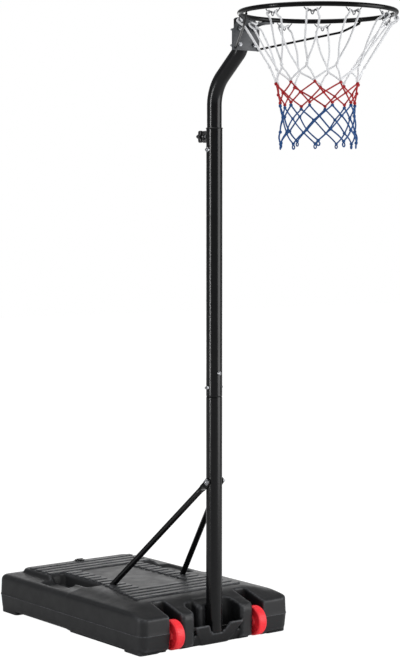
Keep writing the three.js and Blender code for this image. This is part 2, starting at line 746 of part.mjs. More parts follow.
const ribbed = join([cut(tankBody, [slopeCut, frontEdgeCut]), ...deckRibs(), fillerBoss, ...feet()]);
const opened = cut(ribbed, [
  recess, tongueRoom, wheelSlot(), mirrored(wheelSlot()), pocket(), mirrored(pocket()), hollow(0), fillerBore,
]);
const tank = cut(join([opened, saddle, tongue, cheek(), mirrored(cheek())]), [
  socket(), mirrored(socket()), axleBores(),
  solid(rod(POLE_RADIUS + GAP, DECK_HEIGHT, POLE_SIDES, Z_AXIS, new THREE.Vector3(0, 0, recessFloor))),
]);
piece('base_tank', tank, MOULDED_BLACK);

// Fill of the tank, clear of the plug's stem
const stemRoom = solid(rod(
  FILLER_BORE + TANK_WALL, DECK_HEIGHT, POLE_SIDES, Z_AXIS,
  fillerCentre.clone().setZ(DECK_HEIGHT - PLUG_STEM - TANK_WALL),
));
piece('ballast_fill', hollow(GAP).subtract(stemRoom), FILL);

// Filler plug and its seal
const sealBottom = DECK_HEIGHT;
const plugBottom = sealBottom + SEAL_THICKNESS;
const seal = turned([
  [FILLER_BORE, 0], [SEAL_RADIUS, 0], [SEAL_RADIUS, SEAL_THICKNESS],
  [FILLER_BORE, SEAL_THICKNESS], [FILLER_BORE, 0],
], POLE_SIDES);
piece('filler_seal', seal, SEAL_RUBBER).position.set(0, FILLER_Y, sealBottom);
const stemRadius = FILLER_BORE - GAP;
const plugTurned = solid(turned([
  [0, PLUG_TOP], [PLUG_RADIUS - PLUG_WALL / 2, PLUG_TOP], [PLUG_RADIUS, PLUG_TOP - PLUG_WALL / 2],
  [PLUG_RADIUS, 0], [stemRadius, 0], [stemRadius, -PLUG_STEM], [stemRadius - PLUG_WALL, -PLUG_STEM],
  [stemRadius - PLUG_WALL, 0], [0, 0],
], POLE_SIDES));
const plugGrip = block(
  [PLUG_WALL - PLUG_RADIUS, -PLUG_GRIP_WIDTH / 2, PLUG_TOP - PLUG_WALL / 2],
  [PLUG_RADIUS - PLUG_WALL, PLUG_GRIP_WIDTH / 2, PLUG_TOP + PLUG_GRIP_HEIGHT],
);
piece('filler_plug', plugTurned.add(plugGrip), KNOB_BLACK).position.set(0, FILLER_Y, plugBottom);

// Wheels on one axle

function wheel() {
  const half = WHEEL_WIDTH / 2;
  const rim = WHEEL_RADIUS - WHEEL_RIM;
  const bore = AXLE_RADIUS + GAP;
  return turned([
    [bore, half], [WHEEL_HUB, half], [WHEEL_HUB, half - WHEEL_DISH], [rim, half - WHEEL_DISH],
    [rim, half], [WHEEL_RADIUS - WHEEL_EDGE, half], [WHEEL_RADIUS, half - WHEEL_EDGE],
    [WHEEL_RADIUS, WHEEL_EDGE - half], [WHEEL_RADIUS - WHEEL_EDGE, -half], [rim, -half],
    [rim, WHEEL_DISH - half], [WHEEL_HUB, WHEEL_DISH - half], [WHEEL_HUB, -half], [bore, -half],
    [bore, half],
  ], WHEEL_SIDES);
}

for (const [name, side] of [['wheel_left', -1], ['wheel_right', 1]]) {
  const mesh = piece(name, solid(wheel()), RED_PLASTIC);
  mesh.position.set(side * WHEEL_X, 0, AXLE_HEIGHT);
  mesh.rotation.y = Math.PI / 2;
}
const axleHalf = WHEEL_X + SLOT_SPAN / 2 + AXLE_SEAT;
piece('wheel_axle', rod(
  AXLE_RADIUS, axleHalf + axleHalf, BOLT_SIDES, X_AXIS, new THREE.Vector3(-axleHalf, 0, AXLE_HEIGHT),
), COATED_BLACK);

// Pole

function through(radius, direction, height) {
  const reach = POLE_RADIUS + POLE_RADIUS;
  const start = direction.clone().multiplyScalar(-reach).setZ(height);
  return solid(rod(radius, reach + reach, BOLT_SIDES, direction, start));
}

const frontBoltHeight = SEAM_HEIGHT + FRONT_BOLT_RISE;
const sideBoltHeight = SEAM_HEIGHT + SIDE_BOLT_RISE;
const jointHoles = [
  through(BOLT_RADIUS + GAP, Y_AXIS, frontBoltHeight),
  through(BOLT_RADIUS + GAP, X_AXIS, sideBoltHeight),
];
const poleBore = POLE_RADIUS - POLE_WALL;
const neckRadius = poleBore - GAP;
const lowerPole = solid(turned([
  [POLE_RADIUS, POLE_BOTTOM], [POLE_RADIUS, SEAM_HEIGHT - NECK_TAPER], [neckRadius, SEAM_HEIGHT],
  [neckRadius, SEAM_HEIGHT + NECK_LENGTH], [neckRadius - POLE_WALL, SEAM_HEIGHT + NECK_LENGTH],
  [neckRadius - POLE_WALL, SEAM_HEIGHT], [poleBore, SEAM_HEIGHT - NECK_TAPER],
  [poleBore, POLE_BOTTOM], [POLE_RADIUS, POLE_BOTTOM],
], POLE_SIDES));
piece('lower_pole', cut(lowerPole, [
  ...jointHoles,
  through(AXLE_RADIUS + GAP, X_AXIS, AXLE_HEIGHT),
  through(BOLT_RADIUS + GAP, X_AXIS, BRACE_BOLT_HEIGHT),
]), COATED_BLACK);

const upperPole = solid(turned([
  [POLE_RADIUS, SEAM_HEIGHT], [POLE_RADIUS, POLE_TOP], [poleBore, POLE_TOP],
  [poleBore, SEAM_HEIGHT], [POLE_RADIUS, SEAM_HEIGHT],
], POLE_SIDES));
function wallHole(radius, direction, height) {
  const start = new THREE.Vector3(0, 0, height);
  return solid(rod(radius, POLE_RADIUS + OVERRUN, BOLT_SIDES, direction, start));
}
const leftward = X_AXIS.clone().negate();
const frontward = Y_AXIS.clone().negate();
piece('upper_pole', cut(upperPole, [
  ...jointHoles,
  wallHole(SCREW_RADIUS + GAP, Y_AXIS, CLAMP_HEIGHT),
  wallHole(BOLT_RADIUS + GAP, leftward, STOP_HEIGHT),
]), COATED_BLACK);

const collarBore = MAST_RADIUS + GAP;
piece('pole_collar', turned([
  [collarBore, 0], [COLLAR_RADIUS, 0], [COLLAR_RADIUS, COLLAR_THICKNESS],
  [collarBore, COLLAR_THICKNESS], [collarBore, 0],
], POLE_SIDES), KNOB_BLACK).position.z = POLE_TOP;

// Bolts and nuts. A bolt's head is outside the start of its direction.

function bolt(name, direction, height, headRadius, seat, grip, headSides) {
  const start = direction.clone().multiplyScalar(-seat).setZ(height);
  const shank = solid(rod(BOLT_RADIUS, seat + grip, BOLT_SIDES, direction, start));
  const headStart = direction.clone().multiplyScalar(-seat - BOLT_HEAD_HEIGHT).setZ(height);
  const rounding = BOLT_HEAD_HEIGHT / 3;
  const head = solid(turnedAlong([
    [0, 0], [headRadius - rounding, 0], [headRadius, rounding], [headRadius, BOLT_HEAD_HEIGHT],
    [0, BOLT_HEAD_HEIGHT],
  ], headSides, direction, headStart));
  piece(name, shank.add(head), ZINC);
}

function nut(name, direction, height, seat) {
  const bore = BOLT_RADIUS + GAP;
  const start = direction.clone().multiplyScalar(seat).setZ(height);
  const nutBody = cut(solid(rod(NUT_RADIUS, NUT_HEIGHT, HEX_SIDES, direction, start)), [
    through(bore, direction, height),
  ]);
  piece(name, nutBody, ZINC);
}

const wallSeat = POLE_RADIUS + GAP;
const throughGrip = wallSeat + NUT_HEIGHT + BOLT_TIP;
bolt('joint_bolt_front', Y_AXIS, frontBoltHeight, BOLT_HEAD_RADIUS, wallSeat, throughGrip, BOLT_SIDES);
nut('joint_nut_back', Y_AXIS, frontBoltHeight, wallSeat);
bolt('joint_bolt_side', leftward, sideBoltHeight, BOLT_HEAD_RADIUS, wallSeat, throughGrip, BOLT_SIDES);
nut('joint_nut_side', leftward, sideBoltHeight, wallSeat);

// Braces: flattened and bolted at the top, round below, and set into the deck

function oval(centre, across, halfAcross, along, halfAlong) {
  return circle(1, BOLT_SIDES).map((point) => centre.clone()
    .addScaledVector(across, halfAcross * point.x)
    .addScaledVector(along, halfAlong * point.y));
}

function braceShell(inset) {
  const tabAcross = X_AXIS.clone().cross(tabDirection).normalize();
  const tubeOut = braceDirection.clone().cross(tabAcross).normalize();
  const halfTab = BRACE_TAB_THICKNESS / 2 - inset;
  const crimpEnd = braceKnee.clone().addScaledVector(braceDirection, BRACE_CRIMP_LENGTH);
  const tip = braceTop.clone().addScaledVector(tabDirection, -BRACE_TAB_WIDTH / 2);
  const outwards = tubeOut.x > 0 ? tubeOut : tubeOut.negate();
  const end = inset > 0
    ? socketEnd.clone().addScaledVector(braceDirection, OVERRUN)
    : socketEnd.clone().addScaledVector(braceDirection, -GAP);
  const round = BRACE_RADIUS - inset;
  const rings = [
    oval(crimpEnd, outwards, round, tabAcross, round),
    oval(end, outwards, round, tabAcross, round),
  ];
  if (inset > 0) {
    return loft(rings);
  }
  const narrow = BRACE_TAB_WIDTH / 4;
  return loft([
    oval(tip, X_AXIS, halfTab, tabAcross, narrow),
    oval(tip.clone().lerp(braceTop, 1 / 2), X_AXIS, halfTab, tabAcross,
      BRACE_TAB_WIDTH / 2 - BRACE_TUBE_WALL),
    oval(braceTop, X_AXIS, halfTab, tabAcross, BRACE_TAB_WIDTH / 2),
    oval(braceKnee, X_AXIS, halfTab, tabAcross, BRACE_TAB_WIDTH / 2),
    ...rings,
  ]);
}

const brace = cut(braceShell(0), [
  braceShell(BRACE_TUBE_WALL),
  through(BOLT_RADIUS + GAP, X_AXIS, BRACE_BOLT_HEIGHT).translate([POLE_RADIUS, 0, 0]),
]);
piece('brace_right', brace, COATED_BLACK);
piece('brace_left', mirrored(brace), COATED_BLACK);

const tabFace = tabCentreX + BRACE_TAB_THICKNESS / 2 + GAP;
const washerFace = tabFace + WASHER_THICKNESS + GAP;
const washer = [
  [BOLT_RADIUS + GAP, 0], [WASHER_RADIUS, 0], [WASHER_RADIUS, WASHER_THICKNESS],
  [BOLT_RADIUS + GAP, WASHER_THICKNESS], [BOLT_RADIUS + GAP, 0],
];
for (const [name, direction] of [['brace_washer_right', X_AXIS], ['brace_washer_left', leftward]]) {
  const start = direction.clone().multiplyScalar(tabFace).setZ(BRACE_BOLT_HEIGHT);
  piece(name, turnedAlong(washer, BOLT_SIDES, direction, start), ZINC);
}
bolt('brace_bolt', X_AXIS, BRACE_BOLT_HEIGHT, BOLT_HEAD_RADIUS, washerFace,
  washerFace + NUT_HEIGHT + BOLT_TIP, BOLT_SIDES);
nut('brace_nut', X_AXIS, BRACE_BOLT_HEIGHT, washerFace);

// Clamp at the back of the pole, and the locating screw at its left

const bossStart = new THREE.Vector3(0, wallSeat, CLAMP_HEIGHT);
const screwClear = SCREW_RADIUS + GAP;
piece('clamp_boss', turnedAlong([
  [screwClear, 0], [BOSS_RADIUS, 0], [BOSS_RADIUS, BOSS_LENGTH], [screwClear, BOSS_LENGTH], [screwClear, 0],
], HEX_SIDES + HEX_SIDES, Y_AXIS, bossStart), COATED_BLACK);
const screwTip = MAST_RADIUS + GAP;
const screwEnd = KNOB_START + KNOB_BORE_DEPTH - GAP;
piece('clamp_screw', rod(
  SCREW_RADIUS, screwEnd - screwTip, BOLT_SIDES, Y_AXIS, new THREE.Vector3(0, screwTip, CLAMP_HEIGHT),
), ZINC);

function lobedOutline() {
  const points = LOBE_POINTS * KNOB_LOBES;
  return Array.from({ length: points }, (_, i) => {
    const angle = 2 * Math.PI * i / points;
    const radius = KNOB_RADIUS + KNOB_LOBE * Math.cos(KNOB_LOBES * angle);
    return [radius * Math.cos(angle), radius * Math.sin(angle)];
  });
}

const knobStart = new THREE.Vector3(0, KNOB_START, CLAMP_HEIGHT);
const knobGrip = solid(prismAlongY(lobedOutline(), KNOB_COLLAR_LENGTH, KNOB_LENGTH));
const knobCollar = solid(rod(KNOB_COLLAR, KNOB_COLLAR_LENGTH + OVERRUN, POLE_SIDES / 2, Y_AXIS,
  new THREE.Vector3()));
const knobBore = solid(rod(screwClear, KNOB_BORE_DEPTH + OVERRUN, BOLT_SIDES, Y_AXIS,
  new THREE.Vector3(0, -OVERRUN, 0)));
piece('clamp_knob', knobGrip.add(knobCollar).subtract(knobBore), KNOB_BLACK).position.copy(knobStart);

const stopInner = MAST_RADIUS + GAP;
const stopShank = solid(rod(BOLT_RADIUS, wallSeat - stopInner + STOP_HEAD_LENGTH, BOLT_SIDES, leftward,
  new THREE.Vector3(-stopInner, 0, STOP_HEIGHT)));
const stopHead = solid(turnedAlong([
  [0, 0], [STOP_HEAD_RADIUS, 0], [STOP_HEAD_RADIUS, STOP_HEAD_LENGTH / 2],
  [BOLT_RADIUS + GAP, STOP_HEAD_LENGTH / 2], [BOLT_RADIUS + GAP, STOP_HEAD_LENGTH], [0, STOP_HEAD_LENGTH],
], BOLT_SIDES, leftward, new THREE.Vector3(-wallSeat, 0, STOP_HEIGHT)));
piece('stop_screw', stopShank.add(stopHead), ZINC);

// Mast: straight, bent forward, and upright again at the hoop

const slantTop = LOWER_BEND_START + LOWER_BEND_RADIUS * Math.tan(MAST_LEAN / 2);
const slantHeight = MAST_REACH / Math.tan(MAST_LEAN);
const mastTop = slantTop + slantHeight + MAST_HEAD;
const mastLine = filleted([
  new THREE.Vector3(0, 0, MAST_BOTTOM),
  new THREE.Vector3(0, 0, slantTop),
  new THREE.Vector3(0, -MAST_REACH, slantTop + slantHeight),
  new THREE.Vector3(0, -MAST_REACH, mastTop),
], [LOWER_BEND_RADIUS, UPPER_BEND_RADIUS], BEND_STEPS);
piece('mast_tube', tube(mastLine, MAST_RADIUS, POLE_SIDES, MAST_RADIUS - MAST_WALL), COATED_BLACK);

const capStem = MAST_RADIUS - MAST_WALL - GAP;
piece('mast_cap', turned([
  [0, CAP_HEIGHT], [MAST_RADIUS - CAP_HEIGHT, CAP_HEIGHT], [MAST_RADIUS - CAP_WALL / 2, CAP_HEIGHT / 2],
  [MAST_RADIUS, 0], [capStem, 0], [capStem, -CAP_PLUG], [capStem - CAP_WALL, -CAP_PLUG],
  [capStem - CAP_WALL, 0], [0, 0],
], POLE_SIDES), KNOB_BLACK).position.set(0, -MAST_REACH, mastTop);

// Hoop bracket: a plate with side lips in front of the mast, and a tongue under the ring

const plateTop = mastTop;
const plateBottom = plateTop - PLATE_HEIGHT;
const ringHeight = plateTop - RING_DROP;
const hoop = new THREE.Group();
const ringY = -(MAST_REACH + MAST_RADIUS + TONGUE_LENGTH + RING_RADIUS + GAP + PLATE_THICKNESS);
hoop.position.set(0, ringY, ringHeight);
post.add(hoop);

const plateBack = -MAST_REACH - MAST_RADIUS - GAP;
const plateFront = plateBack - PLATE_THICKNESS;
const chamferX = PLATE_HALF_WIDTH - PLATE_CHAMFER_WIDTH;
const chamferZ = plateTop - PLATE_CHAMFER_HEIGHT;
const plate = solid(prismAlongY([
  [-PLATE_HALF_WIDTH, plateBottom], [PLATE_HALF_WIDTH, plateBottom], [PLATE_HALF_WIDTH, chamferZ],
  [chamferX, plateTop], [-chamferX, plateTop], [-PLATE_HALF_WIDTH, chamferZ],
], plateFront, plateBack));
const sideLip = block(
  [PLATE_HALF_WIDTH - PLATE_THICKNESS, plateFront, plateBottom],
  [PLATE_HALF_WIDTH, plateFront + PLATE_LIP, chamferZ],
);
const tongueTop = ringHeight - ROD_RADIUS - GAP;
const tongueEnd = ringY + RING_RADIUS - ROD_RADIUS;
const nearHook = Math.PI - Math.max(...HOOK_ANGLES);
const tongueHalf = RING_RADIUS * Math.sin(nearHook) - HOOK_HALF_WIDTH * Math.cos(nearHook)
  - HOOK_WIRE - TONGUE_TO_HOOK;
const tonguePlate = block(
  [-tongueHalf, tongueEnd, tongueTop - TONGUE_PLATE_THICKNESS],
  [tongueHalf, plateBack - GAP, tongueTop],
);
const gusset = solid(prismAlongX([
  [tongueEnd + ROD_RADIUS + ROD_RADIUS, tongueTop - GAP],
  [plateFront + GAP, tongueTop - GAP],
  [plateFront + GAP, tongueTop - GUSSET_DROP],
], -GUSSET_THICKNESS / 2, GUSSET_THICKNESS / 2));
const uBoltHeights = [plateBottom + U_BOLT_LOW, tongueTop - TONGUE_PLATE_THICKNESS - NUT_RADIUS - GAP];

// U-bolts round the mast, each with two nuts in front of the plate

const uTip = plateFront - NUT_HEIGHT - GAP - U_BOLT_TIP;
const uTools = [];
const uHoles = [];
uBoltHeights.forEach((height, index) => {
  const bend = U_BOLT_HALF_SPAN - U_BOLT_RADIUS;
  const slack = index === 0 ? LOWER_U_BOLT_SLACK : GAP;
  const uBack = -MAST_REACH + MAST_RADIUS + slack + U_BOLT_RADIUS;
  const corners = [
    new THREE.Vector3(-U_BOLT_HALF_SPAN, uTip, height),
    new THREE.Vector3(-U_BOLT_HALF_SPAN, uBack, height),
    new THREE.Vector3(U_BOLT_HALF_SPAN, uBack, height),
    new THREE.Vector3(U_BOLT_HALF_SPAN, uTip, height),
  ];
  const line = filleted(corners, [bend, bend], BEND_STEPS);
  uTools.push(line);
  const name = index === 0 ? 'u_bolt_lower' : 'u_bolt_upper';
  piece(name, tube(line, U_BOLT_RADIUS, STAY_SIDES), ZINC);
  for (const [side, sign] of [['left', -1], ['right', 1]]) {
    const axis = new THREE.Vector3(sign * U_BOLT_HALF_SPAN, plateFront - GAP, height);
    const bore = solid(rod(U_BOLT_RADIUS + GAP, MAST_REACH, BOLT_SIDES, frontward,
      axis.clone().setY(plateBack + OVERRUN)));
    uHoles.push(bore);
    const nutBody = solid(rod(NUT_RADIUS, NUT_HEIGHT, HEX_SIDES, frontward, axis)).subtract(bore);
    piece(`${name.replace('bolt', 'nut')}_${side}`, nutBody, ZINC);
  }
});
const bracket = cut(join([plate, sideLip, mirrored(sideLip), tonguePlate, gusset]), uHoles);
piece('hoop_bracket', bracket, COATED_GREY);

// Ring, stays and hooks, in the hoop's own frame: +Z up, angles counted from the front

piece('ring', new THREE.TorusGeometry(RING_RADIUS, ROD_RADIUS, RING_SIDES, RING_STEPS), COATED_BLACK, hoop);

function around(angle, radius, height) {
  return new THREE.Vector3(radius * Math.sin(angle), -radius * Math.cos(angle), height);
}

const ringUnder = -ROD_RADIUS - GAP;
const stayStart = new THREE.Vector3(
  PLATE_HALF_WIDTH - STAY_INSET, plateFront - GAP - STAY_RADIUS - ringY,
  plateBottom + STAY_RISE - ringHeight,
);
const stayEnd = around(STAY_ANGLE, RING_RADIUS, ringUnder - STAY_RADIUS);
const stayKnee = stayStart.clone().lerp(stayEnd, STAY_KNEE_SHARE).setZ(stayStart.z + STAY_KNEE_RISE);
const stayLine = filleted([stayStart, stayKnee, stayEnd], [STAY_KNEE_RADIUS], BEND_STEPS);
const stay = solid(tube(stayLine, STAY_RADIUS, STAY_SIDES));
piece('stay_right', stay, COATED_BLACK, hoop);
piece('stay_left', mirrored(stay), COATED_BLACK, hoop);

const hookTop = ringUnder - HOOK_WIRE;
const hookSag = RING_RADIUS - Math.sqrt(RING_RADIUS ** 2 - HOOK_HALF_WIDTH ** 2);
const hookRight = [
  new THREE.Vector3(HOOK_HALF_WIDTH, hookSag, ringUnder - HOOK_WIRE * Math.SQRT1_2),
  new THREE.Vector3(HOOK_POCKET_X, 0, hookTop - HOOK_POCKET_DEPTH),
  new THREE.Vector3(HOOK_BARB_X, 0, hookTop - HOOK_BARB_DEPTH),
];
const hookLine = [
  ...hookRight.map(({ x, y, z }) => new THREE.Vector3(-x, y, z)),
  new THREE.Vector3(0, 0, hookTop - HOOK_DEPTH),
  ...hookRight.reverse(),
];
HOOK_ANGLES.forEach((angle, index) => {
  const mesh = piece(`hook_${index + 1}`, tube(hookLine, HOOK_WIRE, WIRE_SIDES), ZINC, hoop);
  mesh.position.copy(around(angle, RING_RADIUS, 0));
  mesh.rotation.z = angle;
});

// Net: a loop on each hook, then rows of knots that step half a mesh from row to row

const meshes = HOOK_ANGLES.length;
const meshAngle = 2 * Math.PI / meshes;

function knotPlace(row, index, drop = 0) {
  const share = NET_ROW_SHARES[row];
  const half = row % 2 === 0 ? 1 / 2 : 1;
  const angle = -Math.PI + meshAngle * (index + half) + NET_TWIST * share.twist;
  return around(angle, RING_RADIUS * share.radius, -NET_DEPTH * share.depth - drop);
}

function knot(place) {
  const geometry = new THREE.OctahedronGeometry(KNOT_RADIUS, 0);
  geometry.translate(place.x, place.y, place.z);
  return solid(geometry);
}

function strand(stations) {
  return solid(tube(stations, CORD_RADIUS, CORD_SIDES));
}

const halfKnots = KNOT_RADIUS + GAP / 2;   // two knots of different cords lie one above the other

// Two strands down from each knot of a row to its neighbours in the next row.
function mesh(row, dropFrom, dropTo) {
  const shapes = [];
  for (let i = 0; i < meshes; i += 1) {
    const top = knotPlace(row, i, dropFrom);
    const next = row % 2 === 0 ? [i - 1, i] : [i, i + 1];
    shapes.push(...next.map((neighbour) => strand([top, knotPlace(row + 1, neighbour, dropTo)])));
  }
  return shapes;
}

function knotRow(row, drop) {
  return Array.from({ length: meshes }, (_, i) => knot(knotPlace(row, i, drop)));
}

// Half of a hook's loop, from the middle of the hook down to a knot of the second row.
function halfLoop(index, side) {
  const angle = HOOK_ANGLES[index];
  const local = (x, outward, drop) => around(angle, RING_RADIUS + outward, hookTop - drop)
    .addScaledVector(new THREE.Vector3(Math.cos(angle), Math.sin(angle), 0), side * x);
  const beside = HOOK_WIRE + CORD_RADIUS + GAP;
  const over = beside * Math.SQRT2 + GAP;
  const meet = knotPlace(0, index);
  const legTop = local(LEG_SPREAD, -LEG_INSET, HOOK_POCKET_DEPTH + HOOK_DEPTH);
  const legMiddle = legTop.clone().lerp(meet, 1 / 2);
  legMiddle.add(local(LEG_BOW, 0, 0).sub(local(0, 0, 0)));
  return strand([
    local(-CORD_RADIUS, -beside, HOOK_POCKET_DEPTH),
    local(HOOK_BARB_X, -beside, HOOK_BARB_DEPTH),
    local(HOOK_POCKET_X, 0, HOOK_POCKET_DEPTH - over),
    local(HOOK_POCKET_X + CORD_RADIUS, over, HOOK_POCKET_DEPTH),
    legTop,
    legMiddle,
    meet,
    knotPlace(1, side > 0 ? index : index - 1, -halfKnots),
  ]);
}

const loops = HOOK_ANGLES.flatMap((_, index) => [halfLoop(index, -1), halfLoop(index, 1)]);
piece('net_white', join([...loops, ...knotRow(1, -halfKnots)]), WHITE_CORD, hoop);
piece('net_red', join([
  ...knotRow(1, halfKnots), ...mesh(1, halfKnots, 0),
  ...knotRow(2, 0), ...mesh(2, 0, -halfKnots), ...knotRow(3, -halfKnots),
]), RED_CORD, hoop);

function eyes() {
  return Array.from({ length: meshes }, (_, i) => {
    const place = knotPlace(6, i, KNOT_RADIUS + EYE_RADIUS);
    const geometry = new THREE.TorusGeometry(EYE_RADIUS, CORD_RADIUS - GAP, CORD_SIDES - 1, HEX_SIDES);
    geometry.rotateX(Math.PI / 2);
    geometry.rotateZ(Math.atan2(place.x, -place.y));
    geometry.translate(place.x, place.y, place.z);
    return solid(geometry);
  });
}

piece('net_blue', join([
  ...knotRow(3, halfKnots), ...mesh(3, halfKnots, 0),
  ...knotRow(4, 0), ...mesh(4, 0, 0), ...knotRow(5, 0), ...mesh(5, 0, 0), ...knotRow(6, 0), ...eyes(),
]), BLUE_CORD, hoop);

export default post;
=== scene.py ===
"""Looks of a free-standing netball post.

A wheeled ballast tank carries a jointed pole with two braces. A bent mast slides in the pole and
holds the hoop and its three-coloured net. Lengths are in metres, +Z is up along the pole and -Y
runs forward from the pole to the ring.
"""

import json
import logging
import math
from dataclasses import dataclass, field
from enum import Enum
from typing import Sequence

import bmesh
import bpy
import numpy as np
from mathutils import Matrix, Quaternion, Vector


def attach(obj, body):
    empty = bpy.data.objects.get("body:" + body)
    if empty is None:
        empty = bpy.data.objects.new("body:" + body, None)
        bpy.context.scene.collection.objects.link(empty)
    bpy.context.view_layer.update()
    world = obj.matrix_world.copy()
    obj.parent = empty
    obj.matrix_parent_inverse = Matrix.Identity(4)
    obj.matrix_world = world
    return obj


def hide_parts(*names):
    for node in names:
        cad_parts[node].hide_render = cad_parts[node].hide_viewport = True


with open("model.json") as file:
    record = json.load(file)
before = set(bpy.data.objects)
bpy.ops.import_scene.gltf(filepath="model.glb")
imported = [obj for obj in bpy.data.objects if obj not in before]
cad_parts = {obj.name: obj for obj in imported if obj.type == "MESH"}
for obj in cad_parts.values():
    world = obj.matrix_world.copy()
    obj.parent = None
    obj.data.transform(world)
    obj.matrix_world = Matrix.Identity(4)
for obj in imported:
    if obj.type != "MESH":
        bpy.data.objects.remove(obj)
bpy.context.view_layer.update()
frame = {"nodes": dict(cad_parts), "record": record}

LOG = logging.getLogger("netball_post")

# Clearance between two pieces
GAP = 0.0003
# A loft's span over the first length gets a ring at the second from each of its ends
LONG_SPAN = 0.012
HOLD = 0.0015
# Points closer than the first become one, and edges shorter than the second go
MERGE = 3e-6
SLIVER = 2e-6
# Smallest radius, so that a point on an axis or in a corner still makes a ring
LEAST_RADIUS = 1e-6
# Crease angle at which every edge is shaded smooth, in degrees
ALL_SMOOTH = 180.0

X_AXIS = Vector((1, 0, 0))
Y_AXIS = Vector((0, 1, 0))
Z_AXIS = Vector((0, 0, 1))
UNMOVED = Matrix.Identity(4)
# Numbers of the Mix node's two colour inputs and of its colour output
MIX_INPUTS = (6, 7)
MIX_OUTPUT = 2
FULL_RANGE = (0.0, 1.0)
NOISE_RANGE = (0.3, 0.7)

Place = tuple[float, float, float]
Range = tuple[float, float]
Outline = list[tuple[float, float]]


class Body(Enum):
    """Moving bodies of the post."""

    STAND = "stand"
    MAST = "hoop_mast"
    LEFT_WHEEL = "left_wheel"
    RIGHT_WHEEL = "right_wheel"
    CLAMP = "clamp"
    PLUG = "plug"


class Slot(Enum):
    """Material slots of the record."""

    MOULDED = "moulded_black"
    BALLAST = "ballast"
    CAP = "cap_black"
    SEAL = "seal_rubber"
    RED_PLASTIC = "red_plastic"
    COATED = "coated_black"
    GREY = "coated_grey"
    ZINC = "zinc_steel"
    WHITE_CORD = "white_cord"
    RED_CORD = "red_cord"
    BLUE_CORD = "blue_cord"


class Side(Enum):
    """Left and right of the post, as signs of X."""

    LEFT = -1
    RIGHT = 1

    @property
    def word(self) -> str:
        """The side's name, as pieces have it."""
        return self.name.lower()


# Node trees


class Nodes:
    """A node tree, with one short way to add a node that is set and joined."""

    def __init__(self, tree: bpy.types.NodeTree) -> None:
        """Take over a tree and empty it."""
        self.tree = tree
        self.tree.nodes.clear()

    def add(self, kind: str, inputs: dict[str | int, object] | None = None,
            **settings: object) -> bpy.types.Node:
        """Add one node.

        Args:
            kind: Type of the node.
            inputs: Constant or source of each input, by its name or number.
            settings: The node's own settings.

        Returns:
            The node.
        """
        node = self.tree.nodes.new(kind)
        for name, value in settings.items():
            setattr(node, name, value)
        for key, value in (inputs or {}).items():
            if isinstance(value, bpy.types.NodeSocket):
                self.tree.links.new(value, node.inputs[key])
            else:
                node.inputs[key].default_value = value
        return node


class NodeSheet(Nodes):
    """The node tree of one material, with the few steps that its finish is made of."""

    def __init__(self, name: str) -> None:
        """Start a material with its texture coordinates.

        Args:
            name: Name of the material.
        """
        self.material = bpy.data.materials.new(name)
        self.material.use_nodes = True
        super().__init__(self.material.node_tree)
        self.place = self.add("ShaderNodeTexCoord")

    def noise(self, scale: float, detail: float = 3.0) -> bpy.types.NodeSocket:
        """Noise on object coordinates.

        Args:
            scale: Waves to a metre.
            detail: Number of finer layers.

        Returns:
            Its value, from about 0 to 1.
        """
        inputs = {"Vector": self.place.outputs["Object"], "Scale": scale, "Detail": detail}
        return self.add("ShaderNodeTexNoise", inputs).outputs["Fac"]

    def spread(self, value: bpy.types.NodeSocket, source: Range,
               target: Range = FULL_RANGE) -> bpy.types.NodeSocket:
        """Map a value from one range to another.

        Args:
            value: The value.
            source: Range that it has.
            target: Range that it gets.

        Returns:
            The mapped value.
        """
        inputs = {"Value": value, "From Min": source[0], "From Max": source[1],
                  "To Min": target[0], "To Max": target[1]}
        return self.add("ShaderNodeMapRange", inputs).outputs["Result"]

    def math(self, operation: str, *values: object) -> bpy.types.NodeSocket:
        """Work out one step of arithmetic on numbers or sockets."""
        return self.add("ShaderNodeMath", dict(enumerate(values)), operation=operation).outputs["Value"]

    def blend(self, factor: bpy.types.NodeSocket, low: object, high: object) -> bpy.types.NodeSocket:
        """Mix two colours.

        Args:
            factor: Share of the second colour.
            low: First colour, or its source.
            high: Second colour, or its source.

        Returns:
            The mixed colour.
        """
        ends = (end if isinstance(end, bpy.types.NodeSocket) else (*end, 1.0) for end in (low, high))
        inputs = {0: factor, **dict(zip(MIX_INPUTS, ends))}
        return self.add("ShaderNodeMix", inputs, data_type="RGBA").outputs[MIX_OUTPUT]

    def bump(self, height: bpy.types.NodeSocket, depth: float, strength: float = 1.0,
             below: bpy.types.NodeSocket | None = None) -> bpy.types.NodeSocket:
        """Raise the surface by a height.

        Args:
            height: Height as a share of the depth.
            depth: Depth in metres.
            strength: How strongly it counts.
            below: Another bump that it lies on.

        Returns:
            The normal.
        """
        inputs = {"Distance": depth, "Strength": strength, "Height": height}
        if below:
            inputs["Normal"] = below
        return self.add("ShaderNodeBump", inputs).outputs["Normal"]


# Finishes


def tinted(colour: Sequence[float], share: float) -> tuple[float, ...]:
    """Lighten or darken a colour by a share."""
    return tuple(min(channel * share, 1.0) for channel in colour)


